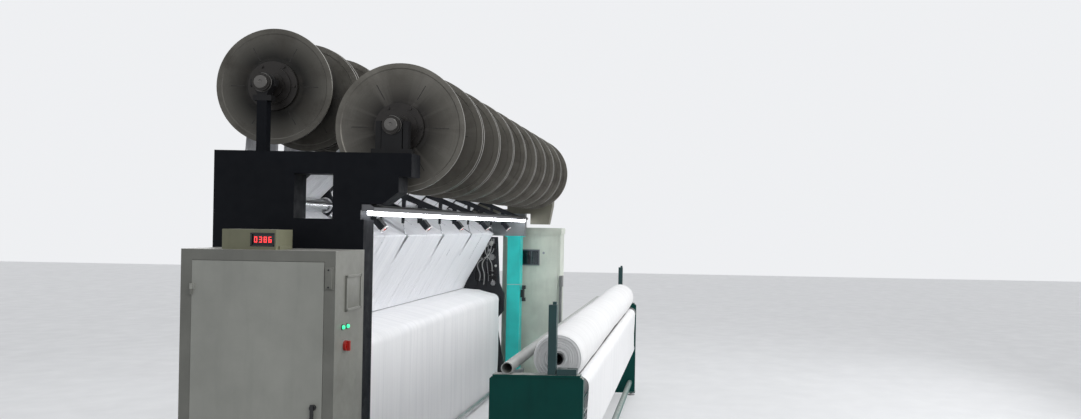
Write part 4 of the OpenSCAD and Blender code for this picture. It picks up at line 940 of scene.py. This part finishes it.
motor_blue = painted("motor_grey", (0.05, 0.075, 0.10), 0.5, dust=0.5)
slate = painted("drive_slate", (0.07, 0.09, 0.11), 0.45, dust=0.5)
belt_black = painted("belt_rubber", (0.012, 0.012, 0.012), 0.7, dust=0.3, grime=0.1)
plastic = painted("black_plastic", (0.012, 0.013, 0.015), 0.32, dust=0.1, fine=500)
panel_plastic = painted("panel_plastic", (0.11, 0.125, 0.145), 0.38, dust=0.15, fine=500)
red_plastic = painted("red_plastic", (0.42, 0.018, 0.012), 0.3, dust=0.1, fine=500)
steel = machined("bright_steel", (0.60, 0.61, 0.62), 0.26)
dull_steel = machined("dull_steel", (0.34, 0.345, 0.35), 0.4)
shaft_steel = machined("oiled_shaft", (0.030, 0.027, 0.025), 0.40, (30.0, 3.0, 3.0), metal=0.5, oil=0.6)
nose_steel = machined("nose_steel", (0.13, 0.125, 0.12), 0.34, oil=0.5)
aluminium = machined("bar_aluminium", (0.52, 0.53, 0.54), 0.34)
channel = machined("channel_aluminium", (0.14, 0.143, 0.150), 0.42)
grip_rubber = painted("grip_rubber", (0.055, 0.058, 0.06), 0.8, dust=0.2, fine=900, bump=0.4)
tube_paint = painted("tube_paint", (0.40, 0.415, 0.40), 0.4, dust=0.4)

# radius from the axis, colour and roughness, from the hub out to the rim. The faces lie darker than the bare
# rims (EDGE) as painted shade; the back row's tones are darker still, a painted shadow.
DARK, EDGE = (0.012, 0.011, 0.010), (0.20, 0.19, 0.165)
FRONT_RINGS = [(0.0, DARK, 0.5), (0.165, DARK, 0.5), (0.200, (0.042, 0.039, 0.034), 0.45),
               (0.330, (0.088, 0.083, 0.072), 0.40), (0.362, (0.045, 0.042, 0.037), 0.42),
               (0.374, EDGE, 0.36), (0.41, EDGE, 0.34)]
BACK_RINGS = [(0.0, DARK, 0.5), (0.150, (0.006, 0.006, 0.005), 0.5), (0.190, (0.010, 0.010, 0.009), 0.5),
              (0.290, (0.020, 0.019, 0.017), 0.48), (0.318, (0.014, 0.013, 0.012), 0.46),
              (0.332, EDGE, 0.36), (0.37, EDGE, 0.34)]
dress(disc("front_beam_metal", FRONT_AXIS, FRONT_RINGS, metal=0.4, level=0.35), "front_warp_beams")
# the back row: dark rings, heavy stain and little sheen, painted shadow
dress(disc("back_beam_metal", BACK_AXIS, BACK_RINGS, metal=0.1, dirt_and_shade=0.85, painted_sheen=0.03, level=0.2),
      "back_warp_beams")
dress(shaft_steel, "front_beam_shaft", "back_beam_shaft")
dress(black, "near_stand")
dress(grey_paint, "far_stand")
dress(teal_post, "far_front_post")
dress(cream, "far_beam_bracket")
dress(charcoal, "arm_traverse", "end_frames", "sensor_heads")
dress(teal_bed, "machine_bed")
dress(dull_steel, "levelling_feet", "main_shaft", "guide_hanger", "trick_plate", "motor_pulley")
dress(dark_iron, "beam_bearings")
dress(oily_iron, "pattern_drive")
dress(slate, "beam_drives")
dress(steel, "front_guide_roller", "back_guide_roller", "front_tension_rail", "back_tension_rail",
      "machine_idler", "winder_base_idler", "winder_front_idler")
dress(channel, "light_channel")
dress(aluminium, "front_guide_bar", "back_guide_bar", "needle_bar", "slider_bar", "sinker_bar")
dress(motor_blue, "main_motor")
dress(belt_black, "drive_belt")
dress(grip_rubber, "rear_take_up_roller", "front_take_up_roller", "front_drive_roller", "rear_drive_roller")
dress(green_panel, "winder_panels")
dress(green_rail, "winder_tie_rails")
dress(green_post, "winder_posts")
dress(tube_paint, "winder_rear_tube")
dress(near_grey, "near_cabinet")
dress(door_grey, "near_cabinet_door")
dress(plastic, "near_door_handle", "handset")
dress(red_plastic, "isolator_switch")
dress(olive, "counter_box")
dress(sage, "far_cabinet", "far_cabinet_door")
dress(panel_plastic, "operator_panel")
dress(box_grey, "junction_box")
dress(glow("tube_glow", (0.93, 0.95, 1.0), 15.0), "light_tube")

yarn_white = yarn("warp_yarn", (0.94, 0.945, 0.965), (0.80, 0.812, 0.842), (150.0, 1.0, 1.0))
wound_white = yarn("wound_yarn", (0.88, 0.88, 0.89), (0.70, 0.70, 0.71), (260.0, 1.5, 1.5))
cloth_white = knit("knitted_white", (0.92, 0.92, 0.925), (0.78, 0.785, 0.80))
roll_white = knit("rolled_white", (0.90, 0.90, 0.90), (0.74, 0.74, 0.74))
for row in (FRONT, BACK):
    yarn_ribbons(row, yarn_white)
for row in (FRONT, BACK):
    winding_rows(row, wound_white)
cloth_web(cloth_white)
cloth_roll(roll_white, plastic)

clip_rubber = painted("clip_rubber", (0.020, 0.018, 0.016), 0.6, dust=0.1, fine=600)
glass = painted("dark_glass", (0.010, 0.014, 0.018), 0.12, dust=0.05, grime=0.0, bump=0.02)
green_glass = painted("pane_glass", (0.020, 0.045, 0.040), 0.14, dust=0.1, grime=0.1, bump=0.02)
pale_grey = painted("pale_grey", (0.50, 0.51, 0.49), 0.4, dust=0.2, grime=0.1)
key_grey = painted("key_grey", (0.30, 0.33, 0.36), 0.45, dust=0.05, fine=500)
lens_white = painted("lens_rim", (0.80, 0.78, 0.77), 0.35, dust=0.05, grime=0.05)
for row in (FRONT, BACK):
    slot_clips(row, clip_rubber)
for row in (FRONT, BACK):
    nose_cap(row, nose_steel)
counter_face(glass, glow("figure_red", (1.0, 0.045, 0.05), 2.4, (0.3, 0.02, 0.02)))
sensor_faces(lens_white, glow("lens_glow", (1.0, 0.90, 0.90), 1.6),
             glow("lens_red", (1.0, 0.06, 0.05), 1.6, (0.4, 0.03, 0.03)))
cabinet_fittings(near_grey, green_glass, plastic, glow("lamp_green", (0.05, 0.95, 0.42), 1.2, (0.05, 0.4, 0.2)))
screen(glass, pale_grey, key_grey)
far_end_fittings(dark_iron, dull_steel, pale_grey)
post_joint(pale_grey)

bpy.context.scene.view_settings.view_transform = "Standard"
